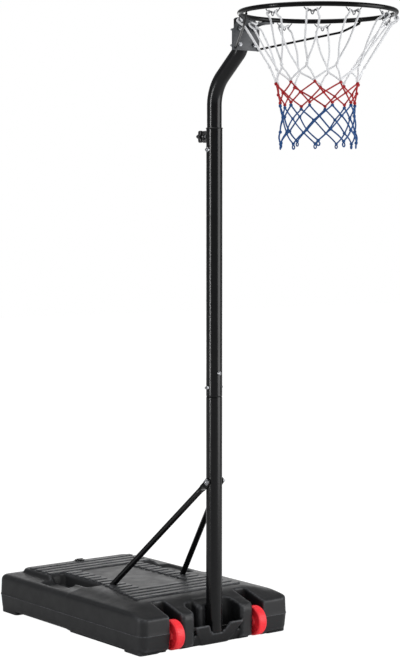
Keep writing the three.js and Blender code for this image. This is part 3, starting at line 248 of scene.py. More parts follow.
@dataclass(frozen=True)
class Finish:
    """A surface whose colour, gloss and grain wander a little."""

    name: str
    colour: tuple[float, float, float]
    roughness: float
    metallic: float = 0.0
    specular: float = 0.5
    tone_spread: float = 0.12
    tone_scale: float = 11.0
    tone_detail: float = 3.0
    tone_range: Range = NOISE_RANGE
    gloss_spread: float = 0.05
    gloss_scale: float = 35.0
    grain_scale: float = 900.0
    grain_depth: float = 0.00004

    def material(self) -> bpy.types.Material:
        """Give the finish's material, which is made once.

        Returns:
            The material.
        """
        name = f"{self.name}_surface"
        known = bpy.data.materials.get(name)
        if known:
            return known
        sheet = NodeSheet(name)
        shader = sheet.add("ShaderNodeBsdfPrincipled", {
            "Metallic": self.metallic, "Specular IOR Level": self.specular,
            "Base Color": self.tone(sheet), "Roughness": self.gloss(sheet), "Normal": self.relief(sheet)})
        sheet.add("ShaderNodeOutputMaterial", {"Surface": shader.outputs["BSDF"]})
        return sheet.material

    def tone(self, sheet: NodeSheet) -> bpy.types.NodeSocket:
        """Colour of the surface, which wanders between two near shades."""
        wander = sheet.spread(sheet.noise(self.tone_scale, self.tone_detail), self.tone_range)
        return sheet.blend(wander, *(tinted(self.colour, 1 + sign * self.tone_spread) for sign in (-1, 1)))

    def gloss(self, sheet: NodeSheet) -> bpy.types.NodeSocket:
        """Roughness of the surface, which wanders about its mean."""
        ends = (self.roughness - self.gloss_spread, self.roughness + self.gloss_spread)
        return sheet.spread(sheet.noise(self.gloss_scale, 4.0), NOISE_RANGE, ends)

    def grain(self, sheet: NodeSheet, detail: float = 2.0,
              below: bpy.types.NodeSocket | None = None) -> bpy.types.NodeSocket:
        """Fine grain, over another relief if one is given."""
        return sheet.bump(sheet.noise(self.grain_scale, detail), self.grain_depth, below=below)

    def relief(self, sheet: NodeSheet) -> bpy.types.NodeSocket:
        """Relief of the surface: its grain alone."""
        return self.grain(sheet)


@dataclass(frozen=True)
class MouldedPlastic(Finish):
    """Blow-moulded plastic: a fine grain, a soft waviness and a painted highlight along its edges, in
    patches.
    """

    tone_detail: float = 5.0
    tone_range: Range = (0.35, 0.7)
    # Painted highlight along the edges: how much lighter it is, and the patches that break it up
    edge_highlight_share: float = 7.0
    highlight_patch_scale: float = 160.0
    highlight_patch_range: Range = (0.25, 0.8)
    edge_range: Range = (0.505, 0.545)
    wave_scale: float = 14.0
    wave_depth: float = 0.0016

    def tone(self, sheet: NodeSheet) -> bpy.types.NodeSocket:
        """Make the colour, with a painted highlight along the edges that is broken into patches.

        Args:
            sheet: The material's nodes.

        Returns:
            The colour.
        """
        # Painted highlight: the colour is lifted along sharp edges, in patches
        edges = sheet.add("ShaderNodeNewGeometry").outputs["Pointiness"]
        highlight_patches = sheet.spread(sheet.noise(self.highlight_patch_scale, 4.0), (0.35, 0.65), self.highlight_patch_range)
        painted_highlight = sheet.math("MULTIPLY", sheet.spread(edges, self.edge_range), highlight_patches)
        return sheet.blend(painted_highlight, super().tone(sheet), tinted(self.colour, self.edge_highlight_share))

    def relief(self, sheet: NodeSheet) -> bpy.types.NodeSocket:
        """Waviness of the blown wall under the grain of the mould."""
        waves = sheet.bump(sheet.noise(self.wave_scale, 1.0), self.wave_depth, 0.5)
        return self.grain(sheet, 3.0, waves)


@dataclass(frozen=True)
class PowderCoat(Finish):
    """Powder-coated steel: the fine orange peel of the coat over a smooth tube."""

    peel_scale: float = 420.0
    peel_depth: float = 0.000011

    def relief(self, sheet: NodeSheet) -> bpy.types.NodeSocket:
        """Orange peel with a finer grain on it."""
        peel = sheet.bump(sheet.noise(self.peel_scale, 1.0), self.peel_depth)
        return self.grain(sheet, below=peel)


@dataclass(frozen=True)
class ZincPlate(Finish):
    """Zinc-plated steel: cloudy crystals and fine scratches."""

    metallic: float = 1.0
    tone_scale: float = 140.0
    gloss_scale: float = 260.0
    grain_scale: float = 2600.0
    grain_depth: float = 0.00002
    scratch_stretch: Place = (1.0, 1.0, 0.08)

    def relief(self, sheet: NodeSheet) -> bpy.types.NodeSocket:
        """Make the fine scratches, drawn out along Z.

        Args:
            sheet: The material's nodes.

        Returns:
            The normal.
        """
        inputs = {"Vector": sheet.place.outputs["Object"], "Scale": self.scratch_stretch}
        stretched = sheet.add("ShaderNodeMapping", inputs).outputs["Vector"]
        scratches = sheet.add("ShaderNodeTexNoise", {"Vector": stretched, "Scale": self.grain_scale})
        return sheet.bump(scratches.outputs["Fac"], self.grain_depth)


@dataclass(frozen=True)
class BraidedCord(Finish):
    """Braided cord: two sets of yarns that cross along the piece's UV."""

    grain_scale: float = 4200.0
    grain_depth: float = 0.00005
    yarns: float = 6.0
    pitch: float = 2.2
    braid_depth: float = 0.00035
    furrow_range: Range = (0.0, 0.45)
    # Share of the colour in the furrows between the yarns: a painted shade
    furrow_painted_shade: float = 0.62
    fade_shade: float = 1.35

    def braid(self, sheet: NodeSheet) -> bpy.types.NodeSocket:
        """Make the braid.

        Args:
            sheet: The material's nodes.

        Returns:
            Its height, 1 on a yarn and 0 between two yarns.
        """
        split = sheet.add("ShaderNodeSeparateXYZ", {"Vector": sheet.place.outputs["UV"]}).outputs
        along, across = (sheet.math("MULTIPLY", split[axis], count)
                         for axis, count in (("X", self.yarns), ("Y", self.pitch)))
        ridges = []
        for way in ("ADD", "SUBTRACT"):
            turn = sheet.math("MULTIPLY", sheet.math(way, along, across), math.pi)
            ridges.append(sheet.math("ABSOLUTE", sheet.math("SINE", turn)))
        return sheet.math("MULTIPLY", *ridges)

    def tone(self, sheet: NodeSheet) -> bpy.types.NodeSocket:
        """Make the colour, with painted shade in the furrows of the braid, and fading in places.

        Args:
            sheet: The material's nodes.

        Returns:
            The colour.
        """
        height = sheet.spread(self.braid(sheet), self.furrow_range)
        # Painted shade: the colour darkens in the furrows between the yarns
        braid_painted_shade = sheet.blend(height, tinted(self.colour, self.furrow_painted_shade), self.colour)
        fade = sheet.spread(sheet.noise(self.tone_scale), NOISE_RANGE, (0.0, self.tone_spread))
        return sheet.blend(fade, braid_painted_shade, tinted(self.colour, self.fade_shade))

    def relief(self, sheet: NodeSheet) -> bpy.types.NodeSocket:
        """The braid, with loose fibres on it."""
        woven = sheet.bump(self.braid(sheet), self.braid_depth, 0.7)
        return self.grain(sheet, 3.0, woven)


FINISHES: dict[Slot, Finish] = {Slot(finish.name): finish for finish in (
    MouldedPlastic("moulded_black", (0.0125, 0.0130, 0.0142), 0.43, specular=0.33,
                   grain_scale=620.0, grain_depth=0.00012),
    Finish("ballast", (0.25, 0.23, 0.17), 0.85, grain_scale=300.0, grain_depth=0.0006),
    Finish("cap_black", (0.012, 0.012, 0.013), 0.30, grain_scale=1100.0),
    Finish("seal_rubber", (0.008, 0.008, 0.008), 0.86, specular=0.3, grain_scale=1500.0),
    Finish("red_plastic", (0.90, 0.022, 0.036), 0.4, tone_spread=0.07, grain_scale=1200.0),
    PowderCoat("coated_black", (0.0030, 0.0032, 0.0037), 0.23, specular=0.31,
               gloss_spread=0.03, grain_depth=0.000012),
    PowderCoat("coated_grey", (0.045, 0.049, 0.055), 0.42, specular=0.4),
    ZincPlate("zinc_steel", (0.46, 0.47, 0.49), 0.30, gloss_spread=0.09),
    BraidedCord("white_cord", (0.80, 0.81, 0.83), 0.78, tone_spread=0.0),
    BraidedCord("red_cord", (0.40, 0.003, 0.007), 0.74, tone_spread=0.2),
    BraidedCord("blue_cord", (0.007, 0.070, 0.24), 0.74, tone_spread=0.25),
)}
RING_FINISH = PowderCoat("ring_black", (0.0020, 0.0021, 0.0024), 0.20, specular=0.17, gloss_spread=0.03)
HOOK_FINISH = ZincPlate("hook_steel", (0.17, 0.175, 0.185), 0.28, tone_spread=0.3, gloss_spread=0.06)


# Lines and outlines


def aimed(direction: Vector, origin: Vector) -> Matrix:
    """Place a shape that is drawn along +Z, so that it points in a direction."""
    return Matrix.Translation(origin) @ Z_AXIS.rotation_difference(direction).to_matrix().to_4x4()


def round_steps(count: int) -> list[tuple[float, float]]:
    """Cosine and sine at even steps round a circle."""
    return [(math.cos(angle), math.sin(angle)) for angle in (2 * math.pi * k / count for k in range(count))]


def sided(points: Sequence[Vector], side: Side) -> list[Vector]:
    """Put points that are drawn for the right side on a side of the post."""
    return [Vector((side.value * point.x, point.y, point.z)) for point in points]


def filleted(corners: Sequence[Vector], radii: Sequence[float], steps: int) -> list[Vector]:
    """Round the inner corners of a line.

    Args:
        corners: Corners of the line, ends included.
        radii: Bend radius at each inner corner.
        steps: Stations along each bend.

    Returns:
        Stations of the rounded line.
    """
    line = [corners[0].copy()]
    for before, corner, after, radius in zip(corners, corners[1:], corners[2:], radii):
        into = (corner - before).normalized()
        out = (after - corner).normalized()
        turn = into.angle(out)
        axis = into.cross(out).normalized()
        start = corner - into * (radius * math.tan(turn / 2))
        centre = start + axis.cross(into) * radius
        line += [centre + Quaternion(axis, turn * step / steps) @ (start - centre)
                 for step in range(steps + 1)]
    return [*line, corners[-1].copy()]


def eased(points: Sequence[Vector], steps: int) -> list[Vector]:
    """Run a smooth line through points.

    Args:
        points: Points that the line passes.
        steps: Stations between two points.

    Returns:
        Stations of the smooth line.
    """
    padded = [2 * points[0] - points[1], *points, 2 * points[-1] - points[-2]]
    line = []
    for a, b, c, d in zip(padded, padded[1:], padded[2:], padded[3:]):
        for step in range(steps):
            t = step / steps
            line.append(0.5 * (2 * b + (c - a) * t + (2 * a - 5 * b + 4 * c - d) * t**2
                               + (3 * b - a - 3 * c + d) * t**3))
    return [*line, points[-1].copy()]


def rounded_outline(half_x: float, half_y: float, corner: float, steps: int = 5) -> Outline:
    """Outline of a rectangle with round corners about the origin.

    Args:
        half_x: Half width.
        half_y: Half length.
        corner: Radius of the corners.
        steps: Stations along each corner.

    Returns:
        Points of the outline, counter-clockwise.
    """
    corner = max(corner, 10 * LEAST_RADIUS)
    points = []
    for quarter, (sign_x, sign_y) in enumerate([(1, 1), (-1, 1), (-1, -1), (1, -1)]):
        for step in range(steps + 1):
            angle = math.pi / 2 * (quarter + step / steps)
            points.append((sign_x * (half_x - corner) + corner * math.cos(angle),
                           sign_y * (half_y - corner) + corner * math.sin(angle)))
    return points


# Pieces


def settled(piece: bpy.types.Object) -> None:
    """Turn a piece and its modifiers into a plain mesh.

    Args:
        piece: The piece.
    """
    bpy.context.view_layer.update()
    graph = bpy.context.evaluated_depsgraph_get()
    mesh = bpy.data.meshes.new_from_object(piece.evaluated_get(graph))
    piece.modifiers.clear()
    mesh.name = piece.name
    piece.data = mesh


def finished(name: str, mesh: bpy.types.Mesh, finish: Finish, crease: float) -> bpy.types.Object:
    """Shade a mesh, dress it and put it in the scene.

    Args:
        name: Name of the piece.
        mesh: Its mesh.
        finish: Its finish.
        crease: Angle in degrees over which an edge stays sharp.

    Returns:
        The object, at the origin.
    """
    mesh.shade_smooth()
    mesh.set_sharp_from_angle(angle=math.radians(crease))
    mesh.materials.append(finish.material())
    piece = bpy.data.objects.new(name, mesh)
    bpy.context.scene.collection.objects.link(piece)
    return piece


def kept(piece: bpy.types.Object, body: Body, slot: Slot, *nodes: str) -> bpy.types.Object:
    """Put a piece on its body, and let it stand for CAD nodes.

    Args:
        piece: The piece.
        body: Body that it moves with.
        slot: Not used.
        nodes: CAD nodes that it replaces.

    Returns:
        The piece.
    """
    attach(piece, body.value)
    if nodes:
        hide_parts(*nodes)
    LOG.info("%s: %d faces, on %s", piece.name, len(piece.data.polygons), body.value)
    return piece


@dataclass(frozen=True)
class Pattern:
    """How a shape repeats: along a line, about an axis, or both."""

    count: int
    start: Sequence[float]
    step: Sequence[float] = (0, 0, 0)
    first_turn: Sequence[float] = (0, 0, 0)
    turn_step: Sequence[float] = (0, 0, 0)


class Repeat:
    """The Geometry Nodes tree that repeats a shape by a pattern."""

    def __init__(self) -> None:
        """Build the tree with its named inputs."""
        self.tree = bpy.data.node_groups.new("repeat_shape", "GeometryNodeTree")
        sockets = {"Shape": "Geometry", "Count": "Int", "Start": "Vector", "Step": "Vector",
                   "First Turn": "Vector", "Turn Step": "Vector", "Finish": "Material"}
        for name, kind in sockets.items():
            self.tree.interface.new_socket(name, in_out="INPUT", socket_type=f"NodeSocket{kind}")
        self.tree.interface.new_socket("Shape", in_out="OUTPUT", socket_type="NodeSocketGeometry")
        nodes = Nodes(self.tree)
        given = nodes.add("NodeGroupInput").outputs
        line = nodes.add("GeometryNodeMeshLine", {
            "Count": given["Count"], "Start Location": given["Start"], "Offset": given["Step"]},
            mode="OFFSET")
        index = nodes.add("GeometryNodeInputIndex").outputs["Index"]
        turn = nodes.add("ShaderNodeVectorMath", {0: index, 1: given["Turn Step"], 2: given["First Turn"]},
                         operation="MULTIPLY_ADD")
        copies = nodes.add("GeometryNodeInstanceOnPoints", {
            "Points": line.outputs["Mesh"], "Instance": given["Shape"], "Rotation": turn.outputs["Vector"]})
        real = nodes.add("GeometryNodeRealizeInstances", {"Geometry": copies.outputs["Instances"]})
        dress = nodes.add("GeometryNodeSetMaterial", {
            "Geometry": real.outputs["Geometry"], "Material": given["Finish"]})
        nodes.add("NodeGroupOutput", {"Shape": dress.outputs["Geometry"]})

    def grow(self, piece: bpy.types.Object, pattern: Pattern) -> None:
        """Repeat a piece's own mesh, which is drawn about the origin.

        Args:
            piece: The piece.
            pattern: How it repeats.
        """
        places = {"Start": pattern.start, "Step": pattern.step,
                  "First Turn": pattern.first_turn, "Turn Step": pattern.turn_step}
        given = {"Count": pattern.count, "Finish": piece.data.materials[0],
                 **{name: tuple(Vector(place)) for name, place in places.items()}}
        modifier = piece.modifiers.new("repeat", "NODES")
        modifier.node_group = self.tree
        for item in self.tree.interface.items_tree:
            if item.in_out == "INPUT" and item.name in given:
                modifier[item.identifier] = given[item.name]
        settled(piece)


REPEAT = Repeat()


class Skin:
    """Points and faces of one piece while it is drawn, with a UV for every face corner."""

    def __init__(self) -> None:
        """Start with nothing drawn."""
        self.points: list[Vector] = []
        self.faces: list[list[int]] = []
        self.uvs: list[tuple[float, float]] = []

    def face(self, corners: Sequence[int], uvs: Sequence[tuple[float, float]] = ()) -> None:
        """Add one face, with the UV of each corner or none."""
        self.faces.append(list(corners))
        self.uvs += uvs or [(0.0, 0.0)] * len(corners)

    @staticmethod
    def held(rings: Sequence[Sequence[Vector]], closed: bool) -> list[Sequence[Vector]]:
        """Add a ring near each end of every long span, so that smooth shading stays true along it.

        Args:
            rings: Rings of points, all with one count.
            closed: Whether the last ring joins the first.

        Returns:
            The rings with those that hold the shading.
        """
        result: list[Sequence[Vector]] = []
        for ring, following in zip(rings, [*rings[1:], rings[0]] if closed else rings[1:]):
            result.append(ring)
            span = max((b - a).length for a, b in zip(ring, following))
            if span > LONG_SPAN:
                result += [[a.lerp(b, share) for a, b in zip(ring, following)]
                           for share in (HOLD / span, 1 - HOLD / span)]
        return result if closed else [*result, rings[-1]]

    def loft(self, rings: Sequence[Sequence[Vector]], closed: bool = False, wrap: float = 1.0) -> "Skin":
        """Join rings of equal count, and close the first and last unless the loft is closed on itself.

        Args:
            rings: Rings of points, all with one count.
            closed: Whether the last ring joins the first.
            wrap: Length that one step of V stands for.

        Returns:
            This skin.
        """
        rings = self.held(rings, closed)
        base, sides = len(self.points), len(rings[0])
        heights = [0.0]
        for ring, following in zip(rings, rings[1:]):
            heights.append(heights[-1] + (following[0] - ring[0]).length / wrap)
        for ring in rings:
            self.points.extend(ring)
        for row in range(len(rings) if closed else len(rings) - 1):
            after = (row + 1) % len(rings)
            low, high = heights[row], heights[after or -1]
            for k in range(sides):
                k_next = (k + 1) % sides
                u, u_next = k / sides, (k + 1) / sides
                start, end = base + row * sides, base + after * sides
                self.face([start + k, start + k_next, end + k_next, end + k],
                          [(u, low), (u_next, low), (u_next, high), (u, high)])
        if not closed:
            self.face([base + k for k in reversed(range(sides))])
            self.face([base + (len(rings) - 1) * sides + k for k in range(sides)])
        return self

    def tube(self, line: Sequence[Vector], radius: float, sides: int) -> "Skin":
        """Sweep a circle along a line.

        Args:
            line: Stations of the centre line.
            radius: Radius of the tube.
            sides: Points round the tube.

        Returns:
            This skin.
        """
        ends = zip([line[0], *line[:-1]], [*line[1:], line[-1]])
        tangents = [(ahead - behind).normalized() for behind, ahead in ends]
        across = tangents[0].orthogonal().normalized()
        rings = []
        for index, (centre, tangent) in enumerate(zip(line, tangents)):
            if index:
                across = tangents[index - 1].rotation_difference(tangent) @ across
            across = (across - tangent * across.dot(tangent)).normalized()
            up = tangent.cross(across)
            rings.append([centre + radius * (c * across + s * up) for c, s in round_steps(sides)])
        return self.loft(rings, wrap=2 * math.pi * radius)

    def turned(self, profile: Outline, place: Matrix, sides: int, closed: bool = False) -> "Skin":
        """Turn a profile about the Z axis of a place.

        Args:
            profile: Points of radius and height.
            place: Where the axis goes.
            sides: Points round the axis.
            closed: Whether the profile closes on itself.

        Returns:
            This skin.
        """
        reaches = [(max(radius, LEAST_RADIUS), height) for radius, height in profile]
        rings = [[place @ Vector((reach * c, reach * s, height)) for c, s in round_steps(sides)]
                 for reach, height in reaches]
        return self.loft(rings, closed=closed)

    def slab(self, outline: Outline, place: Matrix, low: float, high: float) -> "Skin":
        """Raise an outline in a place's X and Y between two heights of it."""
        return self.loft([[place @ Vector((x, y, z)) for x, y in outline] for z in (low, high)])

    def pillow(self, half: tuple[float, float], corner: float, span: Range, rounding: float,
               place: Matrix = UNMOVED) -> "Skin":
        """Draw a bar with round corners and a rounded upper edge.

        Args:
            half: Half width and half length.
            corner: Radius of the corners in plan.
            span: Lower and upper height.
            rounding: Radius of the upper edge.
            place: Where the bar goes.

        Returns:
            This skin.
        """
        low, high = span
        levels = [(0.0, low), *((rounding * (1 - math.cos(a)), high - rounding * (1 - math.sin(a)))
                                for a in (math.pi / 2 * k / 4 for k in range(5)))]
        return self.loft([[place @ Vector((x, y, z)) for x, y in
                           rounded_outline(half[0] - inset, half[1] - inset, corner - inset / 2)]
                          for inset, z in levels])

    def mesh(self, name: str, crease: float, bevel: float) -> bpy.types.Mesh:
        """Make the drawn faces one mesh that faces outwards.

        Args:
            name: Name of the mesh.
            crease: Angle in degrees over which an edge is sharp.
            bevel: Width of the rounding on sharp edges.

        Returns:
            The mesh.
        """
        mesh = bpy.data.meshes.new(name)
        mesh.from_pydata([tuple(point) for point in self.points], [], self.faces)
        layer = mesh.uv_layers.new(name="UVMap")
        layer.data.foreach_set("uv", [value for pair in self.uvs for value in pair])
        solid = bmesh.new()
        solid.from_mesh(mesh)
        bmesh.ops.remove_doubles(solid, verts=solid.verts, dist=MERGE)
        bmesh.ops.dissolve_degenerate(solid, edges=solid.edges, dist=SLIVER)
        bmesh.ops.recalc_face_normals(solid, faces=solid.faces)
        if bevel:
            edges = [edge for edge in solid.edges
                     if edge.is_manifold and edge.calc_face_angle(0.0) > math.radians(crease)]
            bmesh.ops.bevel(solid, geom=edges, offset=bevel, segments=2, profile=0.5,
                            affect="EDGES", clamp_overlap=True)
        solid.to_mesh(mesh)
        solid.free()
        return mesh

    def keep(self, name: str, body: Body, slot: Slot, *nodes: str, crease: float = 35.0, bevel: float = 0.0,
             finish: Finish | None = None, pattern: Pattern | None = None) -> bpy.types.Object:
        """Make the drawn faces one piece and put it on its body.

        Args:
            name: Name of the piece.
            body: Body that it moves with.
            slot: Slot that it takes its finish from.
            nodes: CAD nodes that it replaces.
            crease: Angle in degrees over which an edge stays sharp.
            bevel: Width of the rounding on sharp edges.
            finish: Its finish, where that is another than the slot's.
            pattern: How it repeats.

        Returns:
            The piece, at the origin.
        """
        piece = finished(name, self.mesh(name, crease, bevel), finish or FINISHES[slot], crease)
        if pattern:
            REPEAT.grow(piece, pattern)
        return kept(piece, body, slot, *nodes)


# Blown shapes: distance fields that melt into each other, and the net of faces over them


@dataclass(frozen=True)
class Grid:
    """Places that a distance field is worked out at."""

    x: np.ndarray
    y: np.ndarray
    z: np.ndarray

    def box(self, low: Sequence, high: Sequence, corner: float) -> np.ndarray:
        """Distance to a rectangle with round corners in plan.

        Args:
            low: Lowest X and Y, as numbers or arrays.
            high: Highest X and Y, as numbers or arrays.
            corner: Radius of the corners.

        Returns:
            The distance, below zero inside.
        """
        across = np.abs(self.x - (low[0] + high[0]) / 2) - (high[0] - low[0]) / 2 + corner
        along = np.abs(self.y - (low[1] + high[1]) / 2) - (high[1] - low[1]) / 2 + corner
        outside = np.hypot(np.maximum(across, 0), np.maximum(along, 0))
        return outside + np.minimum(np.maximum(across, along), 0) - corner


@dataclass(frozen=True)
class Hollow:
    """Hollow in the deck whose walls splay from its floor to the deck's crown."""

    low: Range
    high: Range
    corner: float
    floor: float
    depth: float
    splay_low: Range
    splay_high: Range
    overshoot: float = 1.2

    def room(self, grid: Grid) -> np.ndarray:
        """Work out the room that the hollow takes up.

        Args:
            grid: Places of the field.

        Returns:
            Its field, below zero inside.
        """
        up = np.clip((grid.z - self.floor) / self.depth, 0, self.overshoot)
        low = [start - splay * up for start, splay in zip(self.low, self.splay_low)]
        high = [start + splay * up for start, splay in zip(self.high, self.splay_high)]
        return np.maximum(grid.box(low, high, self.corner), self.floor - grid.z)


def melted(a: np.ndarray, b: np.ndarray, soft: float) -> np.ndarray:
    """Join two fields with a fillet of about the given softness."""
    near = np.maximum(soft - np.abs(a - b), 0) / soft
    return np.minimum(a, b) - near**2 * soft / 4


def trimmed(a: np.ndarray, b: np.ndarray, soft: float) -> np.ndarray:
    """Keep what two fields share, with an edge of about the given softness."""
    return -melted(-a, -b, soft)


def surface_net(values: np.ndarray, origin: Sequence[float], cell: float) -> bpy.types.Mesh:
    """Cover the zero level of a field with quads.

    Args:
        values: Field on a grid, below zero inside.
        origin: Place of the first grid point.
        cell: Distance between grid points.

    Returns:
        The closed mesh, faces outward.
    """
    inside = values < 0
    size = np.array(values.shape) - 1
    offsets = [(i, j, k) for i in (0, 1) for j in (0, 1) for k in (0, 1)]

    def corner(offset: tuple[int, int, int], grid: np.ndarray) -> np.ndarray:
        """Values of a grid at one corner of every cell."""
        return grid[tuple(slice(o, o + n) for o, n in zip(offset, size))]

    count = sum(corner(offset, inside).astype(np.int8) for offset in offsets)
    active = (count > 0) & (count < len(offsets))
    number = np.full(active.shape, -1, np.int64)
    number[active] = np.arange(active.sum())
    total = np.zeros((int(active.sum()), 3))
    crossings = np.zeros(len(total))
    for axis in range(3):
        for start in (offset for offset in offsets if not offset[axis]):
            end = tuple(o + (a == axis) for a, o in enumerate(start))
            first, last = corner(start, values)[active], corner(end, values)[active]
            crossed = (first < 0) != (last < 0)
            place = np.tile(np.array(start, float), (len(first), 1))
            place[:, axis] += first / np.where(crossed, first - last, 1)
            total[crossed] += place[crossed]
            crossings += crossed
    points = np.array(origin) + cell * (np.argwhere(active) + total / crossings[:, None])
    quads = []
    for axis in range(3):
        one, two = (axis + 1) % 3, (axis + 2) % 3
        ahead = np.moveaxis(inside, axis, 0)
        places = np.argwhere(np.moveaxis(ahead[:-1] != ahead[1:], 0, axis))
        places = places[(places[:, one] > 0) & (places[:, two] > 0)]
        ring = []
        for back_one, back_two in ((1, 1), (0, 1), (0, 0), (1, 0)):
            cells = places.copy()
            cells[:, one] -= back_one
            cells[:, two] -= back_two
            ring.append(number[tuple(cells.T)])
        quad = np.stack(ring, 1)
        leaving = inside[tuple(places.T)]
        quad[~leaving] = quad[~leaving][:, ::-1]
        quads.append(quad)
    mesh = bpy.data.meshes.new("blown_shell")
    mesh.from_pydata(points.tolist(), [], np.concatenate(quads).tolist())
    return mesh


# Base


@dataclass
class Tank:
    """Blow-moulded ballast tank with its ribbed deck, pockets, cheeks, tongue and filler."""

    half_width: float = 0.258
    front: float = -0.018
    back: float = 0.716
    corner: float = 0.027
    underside: float = 0.009
    floor_gap: float = 0.0001
    parting: float = 0.0546
    bead_start: float = 0.166
    bead_radius: float = 0.0011
    bead_steps: int = 8
    lean_heights: tuple[float, ...] = (0.009, 0.050, 0.0546, 0.059, 0.101, 0.113)
    leans: tuple[float, ...] = (0.005, 0.0008, 0.0, 0.0008, 0.0025, 0.0045)
    ledge: float = 0.1128
    ledge_rise: float = 0.06
    ledge_start: float = 0.02
    ledge_reach: float = 0.05
    deck: float = 0.1265
    crown: float = 0.130
    deck_half: float = 0.190
    deck_front: float = 0.050
    deck_back: float = 0.6866
    deck_corner: float = 0.024
    deck_inset: float = 0.008
    deck_draft: float = 0.5
    deck_margin: float = 0.01
    band_draft: float = 3.3
    band_start: float = 0.400
    band_ease: float = 0.050
    slope_foot: float = 0.099
    slope_back: float = 0.088
    open_front: float = -0.3
    recess_half: float = 0.081
    recess_back: float = 0.042
    recess_corner: float = 0.026
    recess_floor: float = 0.0337
    slot_inner: float = 0.122
    slot_outer: float = 0.163
    slot_back: float = 0.070
    slot_corner: float = 0.008
    pocket: Hollow = Hollow((0.1468, 0.348), (0.1818, 0.526), 0.014, 0.095, 0.035,
                            (0.008, 0.016), (0.008, 0.016))
    pocket_lip: Hollow = Hollow((0.160, 0.415), (0.224, 0.516), 0.012, 0.1065, 0.0235,
                                (0.0, 0.0194), (0.0254, 0.0194))
    saddle_half: float = 0.045
    saddle_front: float = 0.012
    saddle_corner: float = 0.012
    saddle_overlap: float = 0.010
    saddle_sink: float = 0.004
    saddle_edge: float = 0.010
    cheek_front: float = -0.021
    cheek_back: float = 0.030
    cheek_corner: float = 0.011
    tongue_half: float = 0.084
    tongue_foot_half: float = 0.046
    tongue_shoulder: float = 0.057
    tongue_step: float = 0.003
    tongue_front: float = -0.030
    tongue_foot: float = -0.004
    tongue_back: float = 0.009
    tongue_top: float = 0.061
    tongue_wall: float = 0.009
    notch_floor: float = 0.039
    notch_half: float = 0.023
    notch_splay: float = 0.012
    feet: tuple[tuple[Range, Range], ...] = (
        ((0.186, -0.004), (0.253, 0.076)), ((0.186, 0.622), (0.253, 0.702)),
        ((-0.046, -0.004), (0.046, 0.062)))
    foot_corner: float = 0.010
    foot_top: float = 0.012
    pole_bore: float = 0.0236
    filler_y: float = 0.6626
    boss_radius: float = 0.019
    boss_foot: float = 0.118
    bore_radius: float = 0.0113
    bore_foot: float = 0.112
    front_ribs: int = 8
    first_parted: int = 4
    pocket_ribs: int = 6
    back_ribs: int = 4
    rib_first: float = 0.112
    rib_pitch: float = 0.031
    rib_width: float = 0.019
    rib_reach: float = 0.182
    rib_taper: float = 0.042
    rib_sink: float = 0.004
    rib_top: float = 0.1299
    rib_corner: float = 0.0025
    rib_rounding: float = 0.0011
    pocket_front: float = 0.332
    panel_half: float = 0.084
    pocket_inner: float = 0.136
    plug_radius: float = 0.0136
    plug_seat: float = 0.001
    plug_notches: int = 30
    shoulder: float = 0.018
    block_edge: float = 0.016
    foot_edge: float = 0.009
    mouth_edge: float = 0.008
    edge: float = 0.006
    joint_edge: float = 0.005
    opening_edge: float = 0.004
    fine_edge: float = 0.003
    cell: float = 0.003
    cells_kept: float = 0.5
    grid_spans: tuple[Range, ...] = ((0, 0.267), (-0.036, 0.725), (-0.004, 0.137))
    grid: Grid = field(init=False)

    def __post_init__(self) -> None:
        """Lay the grid over the right half of the tank, with a few cells of room round it."""
        lines = (np.arange(low, high, self.cell) for low, high in self.grid_spans)
        self.grid = Grid(*np.meshgrid(*lines, indexing="ij"))

    def slope(self) -> np.ndarray:
        """Work out the distance to the sloping front of the deck.

        Returns:
            The distance, above zero over the slope.
        """
        run, rise = self.slope_back - self.front, self.crown - self.slope_foot
        above = (self.grid.z - self.slope_foot) * run - (self.grid.y - self.front) * rise
        return above / math.hypot(run, rise)

    def walls(self) -> np.ndarray:
        """Work out the walls, the ledge and the deck.

        Returns:
            Their field.
        """
        grid = self.grid
        outline = grid.box((-self.half_width, self.front), (self.half_width, self.back), self.corner)
        leaning = outline + np.interp(grid.z, self.lean_heights, self.leans)
        rise = self.ledge_rise * np.clip(-outline - self.ledge_start, 0, self.ledge_reach)
        walls = trimmed(leaning, grid.z - self.ledge - rise, self.shoulder)
        walls = trimmed(walls, self.underside - grid.z, self.foot_edge)
        draft = self.deck_draft + self.band_draft * np.clip((self.band_start - grid.y) / self.band_ease, 0, 1)
        raised = grid.box((-self.deck_half, self.deck_front), (self.deck_half, self.deck_back),
                          self.deck_corner)
        drop = np.clip(self.deck - grid.z, -self.deck_margin, self.deck - self.ledge)
        raised = np.maximum((raised - draft * drop) / np.hypot(1, draft), outline + self.deck_inset)
        raised = trimmed(raised, grid.z - self.deck, self.edge)
        return trimmed(melted(walls, raised, self.edge), self.slope(), self.edge)

    def opened(self, solid: np.ndarray) -> np.ndarray:
        """Take out the recess, the wheel slots and the pockets.

        Args:
            solid: Field of the walls.

        Returns:
            The field without them.
        """
        grid, front = self.grid, self.open_front
        recess = grid.box((-self.recess_half, front), (self.recess_half, self.recess_back),
                          self.recess_corner)
        solid = trimmed(solid, -np.maximum(recess, self.recess_floor - grid.z), self.opening_edge)
        slot = grid.box((self.slot_inner, front), (self.slot_outer, self.slot_back), self.slot_corner)
        solid = trimmed(solid, -slot, self.opening_edge)
        solid = trimmed(solid, -self.pocket.room(grid), self.mouth_edge)
        return trimmed(solid, -self.pocket_lip.room(grid), self.edge)

